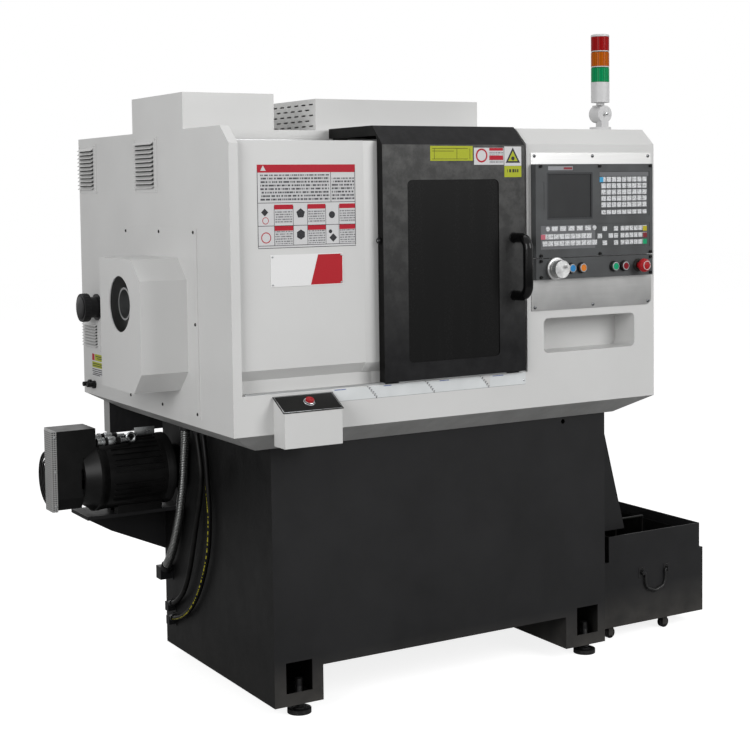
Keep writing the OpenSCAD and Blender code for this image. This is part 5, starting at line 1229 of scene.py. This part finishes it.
# Scraped cast iron: bare grey metal with the 7 mm flakes that hand scraping leaves, filmed with way oil.
scraped, spot = new_material("scraped_cast_iron")
flakes = add_node(scraped, "TexVoronoi", {"Vector": spot, "Scale": 140.0})
iron = add_node(scraped, "ValToRGB", {"Fac": flakes}, stops=[(0, "#7b7d7f"), (1, "#8f9191")])
dull = add_node(scraped, "MapRange", {"Value": flakes, "To Min": 0.20, "To Max": 0.46})
relief = add_node(scraped, "Bump", {"Height": flakes, "Strength": 0.2, "Distance": 0.0002})
skin = add_node(scraped, "BsdfPrincipled", {"Base Color": iron, "Metallic": 0.9, "Roughness": dull,
    "Normal": relief})
add_node(scraped, "OutputMaterial", {"Surface": skin})
coat(scraped, ["carriage", "cross_slide"])

# Ribbed belt: matt black rubber, its running face ribbed every 7 mm, edges frayed grey.
belt_rubber, spot = new_material("ribbed_belt_rubber")
ribs = add_node(belt_rubber, "TexWave", {"Vector": spot, "Scale": 44.9}, bands_direction="X",
    wave_profile="SIN")
frayed = add_node(belt_rubber, "TexNoise", {"Vector": spot, "Scale": 170.0, "Detail": 5.0})
black = add_node(belt_rubber, "ValToRGB", {"Fac": frayed}, stops=[(0.45, "#131313"), (0.80, "#2f2f2e")])
relief = add_node(belt_rubber, "Bump", {"Height": ribs.outputs["Fac"], "Strength": 0.5, "Distance": 0.001})
skin = add_node(belt_rubber, "BsdfPrincipled", {"Base Color": black, "Roughness": 0.62, "Normal": relief})
add_node(belt_rubber, "OutputMaterial", {"Surface": skin})
coat(belt_rubber, ["drive_belt"])


# ---- Folded end of the fixed panel ----
# The fixed panel is one folded steel sheet in the off-white coat, and its right end runs on behind the
# closed door. That end is drawn here: an upright sheet, a sloping fold and the stepped foot below.
foot_bevel = slab((392, 29, 902.2), (456, 31, 941.8), 0, 0.4)
foot_bevel.rotation_euler.x = math.radians(45)
end_sheet = slab((392, 16, 936), (456, 18, 1515.4), 0, 0.4)
lower_sheet = slab((424.3, 44, 875.6), (456, 46, 908.4), 0, 0.4)
settle(joined([end_sheet, foot_bevel, lower_sheet]), "fixed_panel_end", white_coat)


# ---- Side fittings and louvres ----
# Black moulded unions with grip ribs close the hose tails on the left side; the pressed louvres are
# open underneath, and dark strips of painted shade under their lips stand for the shadow in the slots.
coat(black_moulding, ["side_fittings"])
cap_y, cap_z = 950, edge_of("side_fittings", 1, "z") - 42
rib = slab((-50, cap_y - 1.6, cap_z + 40.6), (-32, cap_y + 1.6, cap_z + 43.0), 0, 0.6)
hub_of_cap, rib_count = at(0, cap_y, cap_z), 28
ribs = [copied(rib, Matrix.Translation(hub_of_cap) @ Matrix.Rotation(2 * math.pi * k / rib_count, 4, "X")
               @ Matrix.Translation(-hub_of_cap)) for k in range(rib_count)]
bpy.data.objects.remove(rib)
ribs.append(turned(at(-51.5, cap_y, cap_z), leftwards, [(0, 34), (2.2, 34), (3.4, 31), (3.4, 12)], 48))
settle(joined(ribs), "outlet_cap_ribs", black_moulding, angle=40)

# painted shade: dark strips between the lips, in the plates' own pitch, for the shadow in the open slots
shadow_slots = []
for y0, y1, z0, z1, count in ((456, 616, 1388, 1540, 11), (927, 1070, 1388, 1535, 11),
                              (927, 1066, 912, 1004, 8)):
    pitch = (z1 - z0 - 20) / count
    for k in range(count - 1):
        foot = z0 + 10 + pitch * k
        shadow_slots.append(slab((-2.5, y0 + 23, foot + 0.84 * pitch), (-2.2, y1 - 7, foot + 1.14 * pitch)))
settle(joined(shadow_slots), "louvre_shadow_strips", ink("painted_louvre_shadow", "#141414", "#2a2a29", 0.5))
# four rivets hold each plate
rivets = [(-2.2, y, z) for y0, y1, z0, z1 in ((456, 616, 1388, 1540), (927, 1070, 1388, 1535))
          for y in (y0 + 9, y1 - 3.6) for z in (z0 + 6, z1 - 6)]
screws("louvre_rivets", pan_head, rivets, white_coat, 0.7, leftwards)

# small notice below the lower louvre: plain fields and bars
side = [((907, 832, 1007, 902, 0.3), pale_ink), ((984, 880, 1004, 900, 0.5), red_ink),
        ((911, 880, 980, 900, 0.5), yellow_ink), ((911, 859, 1004, 876, 0.5), yellow_ink)]
for number, ((y0, z0, y1, z1, proud), colour) in enumerate(side, 1):
    settle(slab((-proud, y0, z0), (0.2 - proud, y1, z1)), "side_notice_field_%d" % number,
           colour)
bars = [slab((-0.7, y0, z0), (-0.5, y1, z0 + 2.4)) for y0, y1, z0 in (
        (914, 974, 892), (914, 960, 886), (915, 1000, 869), (921, 1000, 863), (912, 1003, 852),
        (918, 1003, 846), (912, 996, 840), (940, 1003, 835))]
settle(joined(bars), "side_notice_bars", black_ink)


# ---- Coolant tank and chip basket ----
# A welded tank on four hard wheels slides out under the chute; a lift-out basket catches the chips
# and a rounded bail folds flat on the front.
coat(charcoal, ["coolant_tank"])
# Oiled sheet: steel wet with coolant and dulled by dried splashes 20 mm across; its near-black colour is
# partly painted shade for the basket's shadowed inside.
oily_and_shaded_sheet, spot = new_material("oily_and_shaded_basket_steel")
splash = add_node(oily_and_shaded_sheet, "TexNoise", {"Vector": spot, "Scale": 48.0, "Detail": 7.0,
    "Roughness": 0.65})
tone = add_node(oily_and_shaded_sheet, "ValToRGB", {"Fac": splash}, stops=[(0.42, "#0b0b0b"), (0.78, "#1d1c1a")])
wet = add_node(oily_and_shaded_sheet, "MapRange", {"Value": splash, "To Min": 0.22, "To Max": 0.60})
skin = add_node(oily_and_shaded_sheet, "BsdfPrincipled", {"Base Color": tone, "Roughness": wet,
    "Specular IOR Level": 0.15})
add_node(oily_and_shaded_sheet, "OutputMaterial", {"Surface": skin})
coat(oily_and_shaded_sheet, ["chip_basket"])
hard_wheel = moulded("hard_rubber_wheel", "#1a1a1a", "#0c0c0c", 0.42)
coat(hard_wheel, ["caster_1", "caster_2", "caster_3", "caster_4"])

grip_low, grip_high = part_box("tank_handle")
grip_mid = (grip_low + grip_high) / 2 - left_front
bail_x, bail_y = grip_mid.x * 1000, grip_mid.y * 1000
bail_low, bail_high = grip_low.z * 1000, grip_high.z * 1000
half_bail = [(-57, -3.3), (-48, -3.3), (-42, -5), (-40, -12), (-40, -30), (-37.5, -44), (-29, -55),
             (-15, -60.6)]
bail = half_bail + [(0, bail_low - bail_high + 4.6)] + [(-x, z) for x, z in reversed(half_bail)]
bail_curve = smooth_route([at(bail_x + x, bail_y, bail_high + z) for x, z in bail], 6)
bail_run = sum((b - a).length for a, b in zip(bail_curve, bail_curve[1:]))
rod, swell, half_grip = 0.0037, 0.0010, 0.034


def bail_radius(s):
    """A round rod that is a little thicker along its grip, with a short taper at either end of the grip."""
    return rod + swell * min(1, max(0, 1 - abs(s - bail_run / 2) / half_grip) * 6)


handle = swept_hose("rounded_bail", bail_curve, 0.002, 14, bail_radius, (0, 1, 0))
handle.data.materials.append(blackened)
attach(handle, "bail")
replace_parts(handle, "tank_handle")
# a pressed backing plate with two rivets behind each ear
for side, way in (("left", -1), ("right", 1)):
    x = bail_x + 50 * way
    ear_plate = slab((x - 13, 159.0, bail_high - 20), (x + 13, 160.1, bail_high + 13), 5, 0.4)
    settle(ear_plate, "handle_plate_" + side, blackened, "tank_car")
screws("handle_rivets", pan_head, [(bail_x + 50 * way, 159.2, bail_high + dz) for way in (-1, 1)
       for dz in (-15, 9)], blackened, 0.6, body="tank_car")


# ---- Right side panel ----
# The right side is one folded steel panel in the off-white coat, held to the frame by two rows of
# pan-head screws along its upper and lower edge.
side_x = edge_of("outer_panels", 1, "x")
screws("right_panel_screws", pan_head, [(side_x, y, z) for y in (70, 310, 550, 790, 1030)
       for z in (800, 1490)], zinc_plate, axis=rightwards)

# the two pattern screws have been copied to every hole
for pattern in (socket_head, pan_head):
    bpy.data.objects.remove(pattern)
